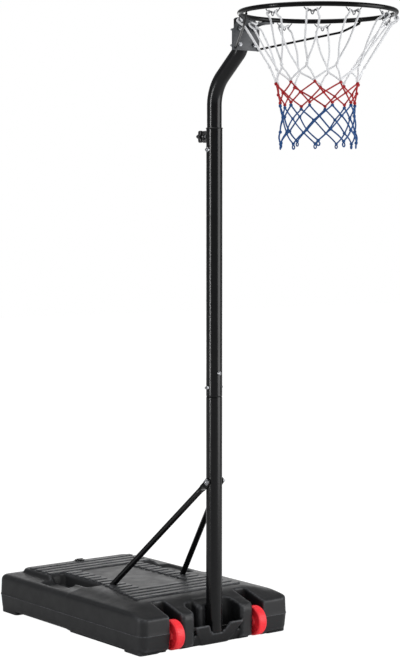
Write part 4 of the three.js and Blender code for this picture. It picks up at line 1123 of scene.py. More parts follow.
    def fronted(self, solid: np.ndarray) -> np.ndarray:
        """Add the saddle behind the pole, the cheeks and the tongue.

        Args:
            solid: Field of the opened walls.

        Returns:
            The field with them.
        """
        grid, slope = self.grid, self.slope()
        saddle = grid.box((-self.saddle_half, self.saddle_front),
                          (self.saddle_half, self.recess_back + self.saddle_overlap), self.saddle_corner)
        saddle = np.maximum(saddle, self.recess_floor - self.saddle_sink - grid.z)
        solid = melted(solid, trimmed(saddle, slope, self.saddle_edge), self.joint_edge)
        face = self.tongue_foot + (self.tongue_front - self.tongue_foot) / self.tongue_top * grid.z
        room = np.maximum(grid.y - face - self.tongue_step, np.abs(grid.x) - self.recess_half)
        solid = trimmed(solid, -room, self.opening_edge)
        cheek = grid.box((self.recess_half, self.cheek_front), (self.slot_inner, self.cheek_back),
                         self.cheek_corner)
        cheek = trimmed(trimmed(cheek, slope, self.block_edge), self.underside - grid.z, self.edge)
        solid = melted(solid, cheek, self.fine_edge)
        return melted(solid, self.tongue(face), self.joint_edge)

    def tongue(self, face: np.ndarray) -> np.ndarray:
        """Work out the tongue in front of the pole, with its notch.

        Args:
            face: Y of the tongue's front at each place.

        Returns:
            Its field.
        """
        grid = self.grid
        half = np.interp(grid.z, [0.0, self.tongue_shoulder], [self.tongue_foot_half, self.tongue_half])
        tongue = trimmed(face - grid.y, np.abs(grid.x) - half, self.mouth_edge)
        tongue = trimmed(tongue, grid.z - self.tongue_top, self.edge)
        tongue = np.maximum(np.maximum(tongue, -grid.z), grid.y - self.tongue_back)
        behind = np.maximum(face + self.tongue_wall - grid.y, self.recess_floor - grid.z)
        tongue = trimmed(tongue, -behind, self.fine_edge)
        up = (grid.z - self.notch_floor) / (self.tongue_top - self.notch_floor)
        notch = np.abs(grid.x) - (self.notch_half + self.notch_splay * up)
        return trimmed(tongue, -trimmed(notch, self.notch_floor - grid.z, self.edge), self.edge)

    def completed(self, solid: np.ndarray) -> np.ndarray:
        """Add the feet and the filler's boss, and bore the holes of the pole and the filler.

        Args:
            solid: Field of the tank without them.

        Returns:
            The whole tank's field.
        """
        grid = self.grid
        feet = np.minimum.reduce([grid.box(low, high, self.foot_corner) for low, high in self.feet])
        feet = trimmed(np.maximum(feet, grid.z - self.foot_top), -grid.z, self.fine_edge)
        solid = melted(solid, feet, self.fine_edge)
        middle = np.hypot(grid.x, grid.y - self.filler_y)
        boss = np.maximum(middle - self.boss_radius, self.boss_foot - grid.z)
        solid = melted(solid, trimmed(boss, grid.z - self.crown, self.fine_edge), self.fine_edge)
        for bore, floor in ((middle - self.bore_radius, self.bore_foot),
                            (np.hypot(grid.x, grid.y) - self.pole_bore, self.recess_floor)):
            solid = np.maximum(solid, -np.maximum(bore, floor - grid.z))
        return np.maximum(solid, self.floor_gap - grid.z)

    def shell(self) -> None:
        """Make the blown shell, mirrored from its right half."""
        solid = self.completed(self.fronted(self.opened(self.walls())))
        whole = np.concatenate([solid[:0:-1], solid])
        origin = (-self.grid.x.max(), self.grid.y.min(), self.grid.z.min())
        piece = finished("tank_shell", surface_net(whole, origin, self.cell), FINISHES[Slot.MOULDED],
                         ALL_SMOOTH)
        piece.modifiers.new("thin", "DECIMATE").ratio = self.cells_kept
        settled(piece)
        kept(piece, Body.STAND, Slot.MOULDED, "base_tank")

    def crease(self) -> None:
        """Make the fine bead of the mould's parting line, from one front block round to the other."""
        start, inner = self.bead_start, self.half_width - self.corner
        front, back = self.front + self.corner, self.back - self.corner
        line = [(start, self.front)]
        corners = [(inner, front), (inner, back), (-inner, back), (-inner, front)]
        for quarter, (x, y) in enumerate(corners, -1):
            for step in range(self.bead_steps + 1):
                angle = math.pi / 2 * (quarter + step / self.bead_steps)
                line.append((x + self.corner * math.cos(angle), y + self.corner * math.sin(angle)))
        line.append((-start, self.front))
        skin = Skin().tube([Vector((x, y, self.parting)) for x, y in line], self.bead_radius, 8)
        skin.keep("parting_bead", Body.STAND, Slot.MOULDED)

    def rib(self, skin: Skin, inner: float, outer: float, y: float) -> None:
        """Draw one rib of the deck, in two halves if the middle panel parts it.

        Args:
            skin: Skin that it is drawn on.
            inner: Where the middle panel ends, or 0 without one.
            outer: Where the rib ends.
            y: Middle of the rib.
        """
        half, middles = outer, (0.0,)
        if inner:
            half, middles = (outer - inner) / 2, (-(inner + outer) / 2, (inner + outer) / 2)
        span = (self.deck - self.rib_sink, self.rib_top)
        for middle in middles:
            skin.pillow((half, self.rib_width / 2), self.rib_corner, span, self.rib_rounding,
                        Matrix.Translation((middle, y, 0)))

    def ribs(self) -> None:
        """Make the ribs of the deck: tapering ones in front of the pockets, then two even rows."""
        first = self.rib_first + self.rib_width / 2
        front = Skin()
        for number in range(self.front_ribs):
            start = number * self.rib_pitch
            taper = self.rib_taper * (start / (self.pocket_front - self.rib_first))
            inner = self.panel_half if number >= self.first_parted else 0.0
            self.rib(front, inner, self.rib_reach - taper, first + start)
        front.keep("deck_ribs_front", Body.STAND, Slot.MOULDED, crease=50.0)
        behind = self.front_ribs + self.pocket_ribs
        for name, number, count, inner, outer in (
                ("pocket", self.front_ribs, self.pocket_ribs, self.panel_half, self.pocket_inner),
                ("back", behind, self.back_ribs, 0.0, self.rib_reach)):
            row = Skin()
            self.rib(row, inner, outer, 0.0)
            pattern = Pattern(count, (0, first + number * self.rib_pitch, 0), (0, self.rib_pitch, 0))
            row.keep(f"deck_ribs_{name}", Body.STAND, Slot.MOULDED, crease=50.0, pattern=pattern)

    def plug(self) -> None:
        """Make the filler's plug, the notches round its rim, and its seal."""
        foot = (0, self.filler_y, self.crown + self.plug_seat)
        place = Matrix.Translation(foot)
        profile = [(0, 0.0025), (0.009, 0.0024), (0.0126, 0.0021), (0.0139, 0.0013), (0.0141, 0.0003),
                   (self.plug_radius, 0.0), (0.0111, 0.0), (0.0109, -0.0138), (0.0088, -0.0138),
                   (0.0088, -0.002), (0, -0.002)]
        plug = Skin().turned(profile, place, 48)
        plug.pillow((0.0104, 0.0026), 0.0024, (0.001, 0.0045), 0.0013, place)
        plug.keep("plug_cap", Body.PLUG, Slot.CAP, "filler_plug", crease=40.0)
        notch = Skin().pillow((0.0008, 0.0008), 0.0005, (0.0002, 0.0018), 0.0005,
                              Matrix.Translation((self.plug_radius, 0, 0)))
        pattern = Pattern(self.plug_notches, foot, turn_step=(0, 0, 2 * math.pi / self.plug_notches))
        notch.keep("plug_rim", Body.PLUG, Slot.CAP, crease=50.0, pattern=pattern)
        seal = Skin().turned([(0.0117, 0.0001), (0.0146, 0.0), (0.0150, 0.0003), (0.0150, 0.0007),
                              (0.0146, 0.0010), (0.0117, 0.0009)],
                             Matrix.Translation((0, self.filler_y, self.crown)), 48, closed=True)
        seal.keep("plug_seal", Body.STAND, Slot.SEAL, "filler_seal", crease=60.0)

    def build(self) -> None:
        """Make every piece of the tank."""
        self.shell()
        self.crease()
        self.ribs()
        self.plug()


@dataclass
class Wheels:
    """Two red wheels on one axle."""

    radius: float = 0.041
    half_width: float = 0.0135
    centre_x: float = 0.1425
    height: float = 0.045
    tread_height: float = 0.0012
    rim: float = 0.034
    dish: float = 0.0035
    hub: float = 0.013
    edge: float = 0.0006
    lip: float = 0.0012
    hollow: float = 0.002
    axle_radius: float = 0.004
    axle_half: float = 0.177
    bore_play: float = 0.0005
    tread_count: int = 64
    tread_inset: float = 0.0028
    tread_half: float = 0.00115
    tread_rounding: float = 0.0007
    spoke_count: int = 6
    spoke_inset: float = 0.0022
    spoke_half: float = 0.0016
    sink: float = 0.001

    def wheel(self, side: Side, body: Body) -> None:
        """Make one wheel, its tread ribs and its spokes.

        Args:
            side: Side of the post.
            body: Body that turns.
        """
        centre = Vector((side.value * self.centre_x, 0, self.height))
        half, dish, base = self.half_width, self.half_width - self.dish, self.radius - self.tread_height
        hub, rim, edge, lip, hollow = self.hub, self.rim, self.edge, self.lip, self.hollow
        bore = self.axle_radius + self.bore_play
        outer = [(bore, half - edge), (bore + 0.0008, half), (hub - lip, half), (hub, half - lip),
                 (hub + edge, dish + 0.001), (hub + hollow, dish), (rim - hollow, dish),
                 (rim - edge, dish + 0.001), (rim, half - lip), (rim + 0.001, half), (base - 0.0022, half),
                 (base - 0.0007, half - edge), (base, half - hollow)]
        profile = outer + [(radius, -height) for radius, height in reversed(outer)]
        wheel = Skin().turned(profile, aimed(X_AXIS, centre), 96, closed=True)
        wheel.keep(f"wheel_body_{side.word}", body, Slot.RED_PLASTIC, f"wheel_{side.word}", crease=50.0)
        tread = Skin().pillow((half - self.tread_inset, self.tread_half), self.tread_rounding,
                              (base - 0.0008, self.radius), self.tread_rounding)
        spoke = Skin().pillow((half - self.spoke_inset, self.spoke_half), self.spoke_half / 2,
                              (hub - self.sink, rim + self.sink), self.spoke_half / 4)
        for name, skin, count in (("tread", tread, self.tread_count), ("spokes", spoke, self.spoke_count)):
            pattern = Pattern(count, centre, turn_step=(2 * math.pi / count, 0, 0))
            skin.keep(f"wheel_{name}_{side.word}", body, Slot.RED_PLASTIC, crease=50.0, pattern=pattern)

    def build(self) -> None:
        """Make the wheels and the axle."""
        self.wheel(Side.LEFT, Body.LEFT_WHEEL)
        self.wheel(Side.RIGHT, Body.RIGHT_WHEEL)
        radius, end, edge = self.axle_radius, self.axle_half, self.edge
        half = [(radius, end - edge), (radius - edge, end), (0, end)]
        profile = [(r, -h) for r, h in reversed(half)] + half
        axle = Skin().turned(profile, aimed(X_AXIS, Vector((0, 0, self.height))), 32)
        axle.keep("axle_rod", Body.STAND, Slot.COATED, "wheel_axle")


# Screws, shared by the pole, the braces and the hoop


@dataclass
class Fastener:
    """A metric bolt with a domed head, a chamfered nut and a threaded tip."""

    radius: float = 0.003
    head_radius: float = 0.006
    head_height: float = 0.0045
    socket_share: float = 0.42
    nut_radius: float = 0.006
    nut_height: float = 0.005
    nut_bevel: float = 0.00015
    nut_play: float = 0.0001
    tip: float = 0.004
    pitch: float = 0.001
    thread_depth: float = 0.00045
    tip_chamfer: float = 0.0006

    def thread(self, start: float, end: float) -> Outline:
        """Draw the profile of a threaded stretch.

        Args:
            start: Height of its start.
            end: Height of its end.

        Returns:
            Points of radius and height.
        """
        turns = max(int((end - start) / self.pitch), 1)
        step = (end - start) / turns
        points = []
        for turn in range(turns):
            points += [(self.radius - self.thread_depth, start + turn * step),
                       (self.radius, start + (turn + 0.5) * step)]
        return [*points, (self.radius - self.tip_chamfer, end)]

    def bolt(self, name: str, node: str, direction: Vector, height: float, seat: float) -> None:
        """Put a bolt through the pole's axis.

        Args:
            name: Name of the piece.
            node: CAD node that it replaces.
            direction: From the head to the tip.
            height: Height of the bolt.
            seat: Distance from the axis to the underside of the head.
        """
        top, head, end = -seat - self.head_height, self.head_radius, seat + self.nut_height + self.tip
        sink = head * self.socket_share
        profile = [(0, top + 0.0020), (sink, top + 0.0020), (sink, top + 0.0003), (sink + 0.0003, top),
                   (head * 0.62, top + 0.0003), (head * 0.85, top + 0.0012), (head, top + 0.0030),
                   (head, -seat - 0.0003), (head - 0.0003, -seat), (self.radius, -seat),
                   (self.radius, end - self.tip - 0.002), *self.thread(end - self.tip - 0.001, end), (0, end)]
        skin = Skin().turned(profile, aimed(direction, Vector((0, 0, height))), 36)
        skin.keep(name, Body.STAND, Slot.ZINC, node)

    def nut(self, name: str, node: str, body: Body, direction: Vector, foot: Vector) -> None:
        """Make a hexagon nut.

        Args:
            name: Name of the piece.
            node: CAD node that it replaces.
            body: Body that it moves with.
            direction: Out from what it holds.
            foot: Middle of its lower face.
        """
        wide, high, bore = self.nut_radius, self.nut_height, self.radius + self.nut_play
        edge = self.tip_chamfer
        profile = [(wide * 0.90, 0.0), (wide, 0.0007), (wide, high - 0.0009), (wide * 0.88, high),
                   (bore + edge, high), (bore, high - edge), (bore, edge), (bore + edge, 0.0)]
        skin = Skin().turned(profile, aimed(direction, foot), 6, closed=True)
        skin.keep(name, body, Slot.ZINC, node, crease=25.0, bevel=self.nut_bevel)

    def join(self, names: tuple[str, str], nodes: tuple[str, str], direction: Vector, height: float,
             seat: float) -> None:
        """Put a bolt through the pole's axis and a nut on it.

        Args:
            names: Names of the bolt and the nut.
            nodes: CAD nodes that they replace.
            direction: From the head to the tip.
            height: Height of the bolt.
            seat: Distance from the axis to what the head and the nut press on.
        """
        self.bolt(names[0], nodes[0], direction, height, seat)
        self.nut(names[1], nodes[1], Body.STAND, direction, direction * seat + Z_AXIS * height)


# Pole, braces and clamp


@dataclass
class Pole:
    """Two-part pole with its collar, joint bolts and braces."""

    radius: float = 0.022
    bottom: float = 0.034
    seam: float = 0.683
    overlap: float = 0.117
    top: float = 1.408
    neck_radius: float = 0.0202
    collar_radius: float = 0.0232
    collar_height: float = 0.0026
    front_bolt: float = 0.747
    side_bolt: float = 0.707
    brace_bolt: float = 0.449
    brace_seat: float = 0.0279
    brace_radius: float = 0.00825
    brace_foot: Place = (0.1238, 0.307, 0.130)
    brace_sink: float = 0.025
    tab_x: float = 0.024
    tab_width: float = 0.022
    tab_thickness: float = 0.0034
    tab_length: float = 0.015
    tab_squareness: float = 0.35
    tab_tip: float = 0.12
    tab_steps: int = 6
    brace_sides: int = 28
    crimp: float = 0.030
    washer_x: float = 0.026
    washer_bore: float = 0.0033
    washer_radius: float = 0.009
    washer_height: float = 0.0016
    fastener: Fastener = field(default_factory=Fastener)

    def tubes(self) -> None:
        """Make the lower pole, the upper pole and the plastic collar on top."""
        r, neck, seam, bottom, top = self.radius, self.neck_radius, self.seam, self.bottom, self.top
        lower = [(0, bottom), (r - 0.0006, bottom), (r, bottom + 0.0006), (r, seam - 0.0040),
                 (r - 0.0003, seam - 0.0022), (r - 0.0009, seam - 0.0008), (neck, seam - 0.0003),
                 (neck, seam + self.overlap), (0, seam + self.overlap)]
        Skin().turned(lower, UNMOVED, 72).keep(
            "pole_lower_tube", Body.STAND, Slot.COATED, "lower_pole", crease=50.0)
        upper = [(neck + 0.0002, seam + 0.0010), (r - 0.0006, seam + 0.0002), (r - 0.0002, seam + 0.0005),
                 (r, seam + 0.0012), (r, top - 0.0004), (r - 0.0004, top), (neck + 0.0002, top)]
        Skin().turned(upper, UNMOVED, 72, closed=True).keep(
            "pole_upper_tube", Body.STAND, Slot.COATED, "upper_pole", crease=50.0)
        outer, high = self.collar_radius, self.collar_height
        collar = [(0.0203, 0.0002), (outer - 0.0004, 0.0), (outer, 0.0005), (outer, high - 0.0010),
                  (outer - 0.0007, high - 0.0002), (outer - 0.0013, high), (0.0206, high)]
        Skin().turned(collar, Matrix.Translation((0, 0, top)), 72, closed=True).keep(
            "pole_top_collar", Body.STAND, Slot.CAP, "pole_collar", crease=50.0)

    def brace(self, side: Side) -> None:
        """Make one brace, a round tube flattened to a bolted tab at its upper end, and its washer.

        Args:
            side: Side of the post.
        """
        top, foot = Vector((self.tab_x, 0, self.brace_bolt)), Vector(self.brace_foot)
        along_tab = Vector((0, foot.y - top.y, foot.z - top.z)).normalized()
        knee = top + along_tab * self.tab_length
        along = (foot - knee).normalized()
        across = X_AXIS.cross(along_tab).normalized()
        outward = along.cross(across).normalized()
        outward = outward if outward.x > 0 else -outward
        flat, wide, tube = self.tab_thickness / 2, self.tab_width / 2, self.brace_radius
        stations = [(top - along_tab * wide * c, X_AXIS, flat, wide * max(s, self.tab_tip))
                    for c, s in round_steps(4 * self.tab_steps)[:self.tab_steps]]
        stations += [(top + along_tab * self.tab_length * share, X_AXIS, flat, wide) for share in (0.0, 0.6)]
        for share in (step / 10 for step in range(11)):
            ease = share * share * (3 - 2 * share)
            stations.append((knee + along * self.crimp * share, X_AXIS.lerp(outward, ease).normalized(),
                             flat + (tube - flat) * ease, wide + (tube - wide) * ease))
        stations.append((foot + along * self.brace_sink, outward, tube, tube))
        rings = []
        for centre, thin_way, thin, thick in stations:
            power = self.tab_squareness if thin < tube * 0.5 else 1.0
            ring = [centre + thin_way * thin * math.copysign(abs(c) ** power, c) + across * thick * s
                    for c, s in round_steps(self.brace_sides)]
            rings.append(sided(ring, side))
        skin = Skin().loft(rings)
        skin.keep(f"brace_tube_{side.word}", Body.STAND, Slot.COATED, f"brace_{side.word}", crease=45.0)
        bore, wide, high = self.washer_bore, self.washer_radius, self.washer_height
        profile = [(bore, 0.0), (wide - 0.0002, 0.0), (wide, 0.0003), (wide, high - 0.0003),
                   (wide - 0.0003, high), (bore, high)]
        place = aimed(X_AXIS * side.value, Vector((side.value * self.washer_x, 0, self.brace_bolt)))
        washer = Skin().turned(profile, place, 40, closed=True)
        washer.keep(f"brace_ring_{side.word}", Body.STAND, Slot.ZINC, f"brace_washer_{side.word}")

    def build(self) -> None:
        """Make the pole, its braces and their screws."""
        self.tubes()
        seat = self.radius + GAP
        self.fastener.join(("pole_bolt_front", "pole_nut_front"), ("joint_bolt_front", "joint_nut_back"),
                           Y_AXIS, self.front_bolt, seat)
        self.fastener.join(("pole_bolt_side", "pole_nut_side"), ("joint_bolt_side", "joint_nut_side"),
                           -X_AXIS, self.side_bolt, seat)
        for side in Side:
            self.brace(side)
        self.fastener.join(("brace_screw", "brace_screw_nut"), ("brace_bolt", "brace_nut"),
                           X_AXIS, self.brace_bolt, self.brace_seat)


@dataclass
class Clamp:
    """Lobed knob and screw that hold the mast, and the locating screw below them."""

    height: float = 1.388
    stop_height: float = 1.351
    wall: float = 0.0223
    boss_radius: float = 0.008
    boss_length: float = 0.008
    screw_radius: float = 0.004
    screw_pitch: float = 0.00125
    screw_start: float = 0.0203
    screw_end: float = 0.0577
    knob_start: float = 0.038
    knob_radius: float = 0.016
    knob_sides: int = 96
    lobe: float = 0.0024
    lobes: int = 6
    collar_radius: float = 0.009
    full_share: float = 0.8
    plain_share: float = 0.45
    lobe_fade: float = 0.4
    grip_start: float = 0.007
    grip_levels: tuple[Range, ...] = (
        (0.0, 0.86), (0.0007, 0.93), (0.0021, 0.985), (0.0040, 1.0), (0.0102, 1.0), (0.0122, 0.985),
        (0.0134, 0.93), (0.0140, 0.84), (0.0134, 0.72), (0.0128, 0.45))

    def screw(self) -> None:
        """Make the boss that is welded to the pole, and the clamp screw with its thread."""
        r, end, bore = self.boss_radius, self.boss_length, self.screw_radius + GAP
        profile = [(bore, 0.0), (r + 0.0016, 0.0), (r + 0.0007, 0.0007), (r, 0.0018), (r, end - 0.0006),
                   (r - 0.0006, end), (bore, end)]
        boss = Skin().turned(profile, aimed(Y_AXIS, Vector((0, self.wall, self.height))), 48, closed=True)
        boss.keep("clamp_weld_boss", Body.STAND, Slot.COATED, "clamp_boss", crease=50.0)
        start, end = self.screw_start, self.screw_end
        thread = Fastener(radius=self.screw_radius, pitch=self.screw_pitch).thread(start + 0.001, end)
        screw = Skin().turned([(0, start), (self.screw_radius - 0.001, start), *thread, (0, end)],
                              aimed(Y_AXIS, Vector((0, 0, self.height))), 32)
        screw.keep("clamp_thread", Body.CLAMP, Slot.ZINC, "clamp_screw")

    def knob(self) -> None:
        """Make the six-lobed knob with its collar. The lobes fade towards the middle of its face."""
        place = aimed(Y_AXIS, Vector((0, self.knob_start, self.height)))
        low, bore, wide = self.grip_start, self.screw_radius + GAP, self.collar_radius
        rings = []
        for rise, share in self.grip_levels:
            wave = 1.0 if share > self.full_share else max(share - self.plain_share, 0) / self.lobe_fade
            ring = []
            for k, (c, s) in enumerate(round_steps(self.knob_sides)):
                swell = self.lobe * wave * math.cos(self.lobes * 2 * math.pi * k / self.knob_sides)
                radius = share * (self.knob_radius + swell)
                ring.append(place @ Vector((radius * c, radius * s, low + rise)))
            rings.append(ring)
        collar = [(bore, 0.0004), (bore + 0.0006, 0.0), (wide - 0.0006, 0.0), (wide, 0.0006),
                  (wide, low - 0.0012), (wide + 0.0008, low + 0.0004), (wide + 0.0008, low + 0.002),
                  (bore, low + 0.002)]
        skin = Skin().loft(rings).turned(collar, place, 60, closed=True)
        skin.keep("clamp_grip", Body.CLAMP, Slot.CAP, "clamp_knob", crease=50.0)

    def stop(self) -> None:
        """Make the locating screw with its stepped head."""
        profile = [(0, 0.008), (0.0026, 0.008), (0.0032, 0.0074), (0.0032, 0.0044), (0.0054, 0.0042),
                   (0.0063, 0.0034), (0.0065, 0.0026), (0.0065, 0.0003), (0.0062, 0), (0.003, 0),
                   (0.003, -0.002), (0, -0.002)]
        place = aimed(-X_AXIS, Vector((-self.wall, 0, self.stop_height)))
        Skin().turned(profile, place, 40).keep("locating_screw", Body.STAND, Slot.ZINC, "stop_screw")

    def build(self) -> None:
        """Make the clamp's pieces."""
        self.screw()
        self.knob()
        self.stop()


# Mast and hoop


@dataclass
class Mast:
    """Bent mast tube with its cap."""

    radius: float = 0.020
    bottom: float = 0.870
    low_corner: float = 1.51563
    high_corner: float = 1.61213
    reach: float = 0.115
    top: float = 1.69103
    low_bend: float = 0.100
    high_bend: float = 0.040
    cap_height: float = 0.005

    def build(self) -> None:
        """Make the mast and its cap."""
        corners = [Vector((0, 0, self.bottom)), Vector((0, 0, self.low_corner)),
                   Vector((0, -self.reach, self.high_corner)), Vector((0, -self.reach, self.top))]
        tube = Skin().tube(filleted(corners, [self.low_bend, self.high_bend], 16), self.radius, 64)
        tube.keep("mast_bent_tube", Body.MAST, Slot.COATED, "mast_tube", crease=50.0)
        r, high = self.radius, self.cap_height
        profile = [(0, high), (0.010, high - 0.0003), (0.0155, high - 0.0013), (0.0185, high - 0.0030),
                   (r, high - 0.0046), (r + 0.0002, 0.0), (r - 0.002, -0.0008), (0, -0.0008)]
        cap = Skin().turned(profile, Matrix.Translation((0, -self.reach, self.top)), 64)
        cap.keep("mast_top_cap", Body.MAST, Slot.CAP, "mast_cap", crease=60.0)


@dataclass
class Hoop:
    """Ring with its bracket, U-bolts, stays and net hooks."""

    mast: Mast
    centre: Place = (0.0, -0.4203, 1.68003)
    radius: float = 0.196
    rod: float = 0.006
    rod_sides: int = 20
    plate_half: float = 0.0435
    plate_back: float = -0.1353
    plate_front: float = -0.1383
    plate_bottom: float = 1.60703
    plate_top: float = 1.69103
    chamfer: Range = (0.017, 0.029)
    lip: float = 0.009
    lip_back: float = -0.1363
    sheet: float = 0.003
    tongue_half: float = 0.0171
    tongue_thickness: float = 0.004
    gusset_drop: float = 0.016
    weld_level: float = -0.0048
    weld_out: float = 0.0036
    weld_radius: float = 0.0014
    weld_ripple: float = 0.0003
    weld_wave: float = 2.6
    weld_start: float = 0.3
    weld_pitch: float = 0.68
    weld_steps: int = 11
    stay_weld_radius: float = 0.0022
    u_radius: float = 0.003
    u_half_span: float = 0.025
    u_tip: float = 0.003
    u_thread: float = 0.016
    u_bolts: tuple[tuple[str, str, float, float], ...] = (
        ("lower", "low", 1.62203, 0.0024), ("upper", "high", 1.66343, GAP))
    stay: float = 0.003
    stay_angle: float = math.radians(105)
    stay_inset: float = 0.004
    stay_lift: float = 0.005
    stay_knee_share: float = 0.82
    stay_knee_rise: float = 0.0375
    stay_bend: float = 0.060
    hook_wire: float = 0.0013
    hook_half: float = 0.021
    hook_step: float = 30.0
    hook_rows: tuple[tuple[str, float, tuple[int, ...]], ...] = (
        ("front", -75.0, (3, 4, 5, 6, 7, 8)), ("back", 135.0, (1, 2, 9, 10)))
    fastener: Fastener = field(default_factory=Fastener)

    def around(self, angle: float, radius: float, height: float) -> Vector:
        """Place at an angle from the front of the ring."""
        return Vector(self.centre) + Vector((radius * math.sin(angle), -radius * math.cos(angle), height))

    def bracket(self) -> None:
        """Make the folded bracket: plate, side lips, tongue and gusset."""
        half, bottom, top, front = self.plate_half, self.plate_bottom, self.plate_top, self.plate_front
        cut_x, cut_z = self.chamfer
        upright = Matrix(((1, 0, 0, 0), (0, 0, 1, 0), (0, 1, 0, 0), (0, 0, 0, 1)))
        right = [(half, bottom), (half, top - cut_z), (half - 0.002, top - cut_z + 0.0065),
                 (half - cut_x + 0.003, top - 0.003), (half - cut_x - 0.003, top)]
        skin = Skin().slab(right + [(-x, z) for x, z in reversed(right)], upright, front, self.plate_back)
        for side in Side:
            low, high = sorted((side.value * (half - self.sheet), side.value * half))
            skin.slab([(low, self.lip_back), (high, self.lip_back), (high, front + self.lip),
                       (low, front + self.lip)], UNMOVED, bottom, top - cut_z)
        tongue_top, tongue_end = self.centre[2] - self.rod - GAP, self.centre[1] + self.radius - self.rod
        tongue_foot, half = tongue_top - self.tongue_thickness, self.tongue_half
        skin.slab([(-half, tongue_end), (half, tongue_end), (half, front), (-half, front)], UNMOVED,
                  tongue_foot, tongue_top)
        lengthwise = Matrix(((0, 0, 1, 0), (1, 0, 0, 0), (0, 1, 0, 0), (0, 0, 0, 1)))
        skin.slab([(tongue_end + 2 * self.rod, tongue_foot), (front, tongue_foot),
                   (front, tongue_top - self.gusset_drop)], lengthwise, -self.sheet / 2, self.sheet / 2)
        skin.keep("hoop_plate", Body.MAST, Slot.GREY, "hoop_bracket", crease=30.0, bevel=0.0006)

    def u_bolt(self, word: str, ending: str, height: float, slack: float) -> None:
        """Make one U-bolt round the mast, with its nuts.

        Args:
            word: Lower or upper, as in the names of nodes.
            ending: End of the piece's name.
            height: Height of the U-bolt.
            slack: Room between it and the mast.
        """
        tip = self.plate_front - GAP - self.fastener.nut_height - self.u_tip
        back = self.mast.radius - self.mast.reach + slack + self.u_radius
        span = self.u_half_span
        corners = [Vector((x, y, height))
                   for x, y in ((-span, tip), (-span, back), (span, back), (span, tip))]
        skin = Skin().tube(filleted(corners, [span - self.u_radius] * 2, 14), self.u_radius, 20)
        threads = [(r + 0.0001, h) for r, h in self.fastener.thread(0.0, self.u_thread)]
        for side in Side:
            place = aimed(-Y_AXIS, Vector((side.value * span, tip + self.u_thread, height)))
            skin.turned([(0, -0.001), *threads, (0, self.u_thread)], place, 24)
        skin.keep(f"u_bolt_{ending}", Body.MAST, Slot.ZINC, f"u_bolt_{word}", crease=50.0)
        for side in Side:
            foot = Vector((side.value * span, self.plate_front - GAP, height))
            self.fastener.nut(f"u_bolt_{word}_nut_{side.word}", f"u_nut_{word}_{side.word}", Body.MAST,
                              -Y_AXIS, foot)

    def ring(self) -> None:
        """Make the ring and the weld beads that join it to the tongue."""
        profile = [(self.radius + self.rod * c, self.rod * s) for c, s in round_steps(self.rod_sides)]
        skin = Skin().turned(profile, Matrix.Translation(self.centre), 160, closed=True)
        for sign in (-1, 1):
            bead = []
            for k in range(self.weld_steps):
                angle = math.pi + sign * math.radians(self.weld_start + self.weld_pitch * k)
                level = self.weld_level + self.weld_ripple * math.sin(self.weld_wave * k)
                bead.append(self.around(angle, self.radius + self.weld_out, level))
            skin.tube(bead, self.weld_radius, 8)
        skin.keep("ring_rod", Body.MAST, Slot.COATED, "ring", crease=60.0, finish=RING_FINISH)

    def stay_rod(self, side: Side) -> None:
        """Make one stay from the plate to the ring's underside.

        Args:
            side: Side of the post.
        """
        start = Vector((self.plate_half - self.stay_inset, self.plate_front - GAP - self.stay,
                        self.plate_bottom + self.stay_lift))
        end = self.around(self.stay_angle, self.radius, -self.rod - GAP - self.stay)
        knee = start.lerp(end, self.stay_knee_share)
        knee.z = start.z + self.stay_knee_rise
        line = sided(filleted([start, knee, end], [self.stay_bend], 10), side)
        weld = line[-1] + Vector((0, 0, self.stay * 0.7))
        along = (line[-1] - line[-2]).normalized()
        skin = Skin().tube(line, self.stay, 16)
        skin.tube([weld + along * reach for reach in (-0.010, -0.006, 0.002)], self.stay_weld_radius, 10)
        skin.keep(f"stay_rod_{side.word}", Body.MAST, Slot.COATED, f"stay_{side.word}", crease=60.0,
                  finish=RING_FINISH)

    def hooks(self, row: str, first: float, numbers: Sequence[int]) -> None:
        """Make a row of bent-wire net hooks under the ring.

        Args:
            row: Name of the row.
            first: Angle of the first hook from the front of the ring, in degrees.
            numbers: Numbers of the CAD's hooks that they replace.
        """
        sag = self.radius - math.sqrt(self.radius**2 - self.hook_half**2)
        right = [Vector(place) for place in (
            (self.hook_half, sag, -0.0069), (0.0175, sag * 0.6, -0.0105), (0.0128, 0, -0.0168),
            (0.0112, 0, -0.0174), (0.0094, 0, -0.0160), (0.0075, 0, -0.0136), (0.0052, 0, -0.0142),
            (0.0022, 0, -0.0228))]
        points = [*sided(right, Side.LEFT), Vector((0, 0, -0.0246)), *right[::-1]]
        out = Vector((0, -self.radius, 0))
        skin = Skin().tube([point + out for point in eased(points, 4)], self.hook_wire, 8)
        pattern = Pattern(len(numbers), self.centre, first_turn=(0, 0, math.radians(first)),
                          turn_step=(0, 0, math.radians(self.hook_step)))
        skin.keep(f"net_hooks_{row}", Body.MAST, Slot.ZINC, *(f"hook_{number}" for number in numbers),
                  crease=60.0, finish=HOOK_FINISH, pattern=pattern)

    def build(self) -> None:
        """Make the hoop's pieces."""
        self.bracket()
        for bolt in self.u_bolts:
            self.u_bolt(*bolt)
        self.ring()
        for side in Side:
            self.stay_rod(side)
        for row in self.hook_rows:
            self.hooks(*row)


@dataclass(frozen=True)
class Wave:
    """One wave that runs round the net and turns with its depth."""

    strength: float
    count: int
    drift: float
    phase: float

    def at(self, angle: np.ndarray, share: np.ndarray) -> np.ndarray:
        """Height of the wave at angles round the net and shares of its depth."""
        return self.strength * np.sin(self.count * angle + self.drift * share + self.phase)


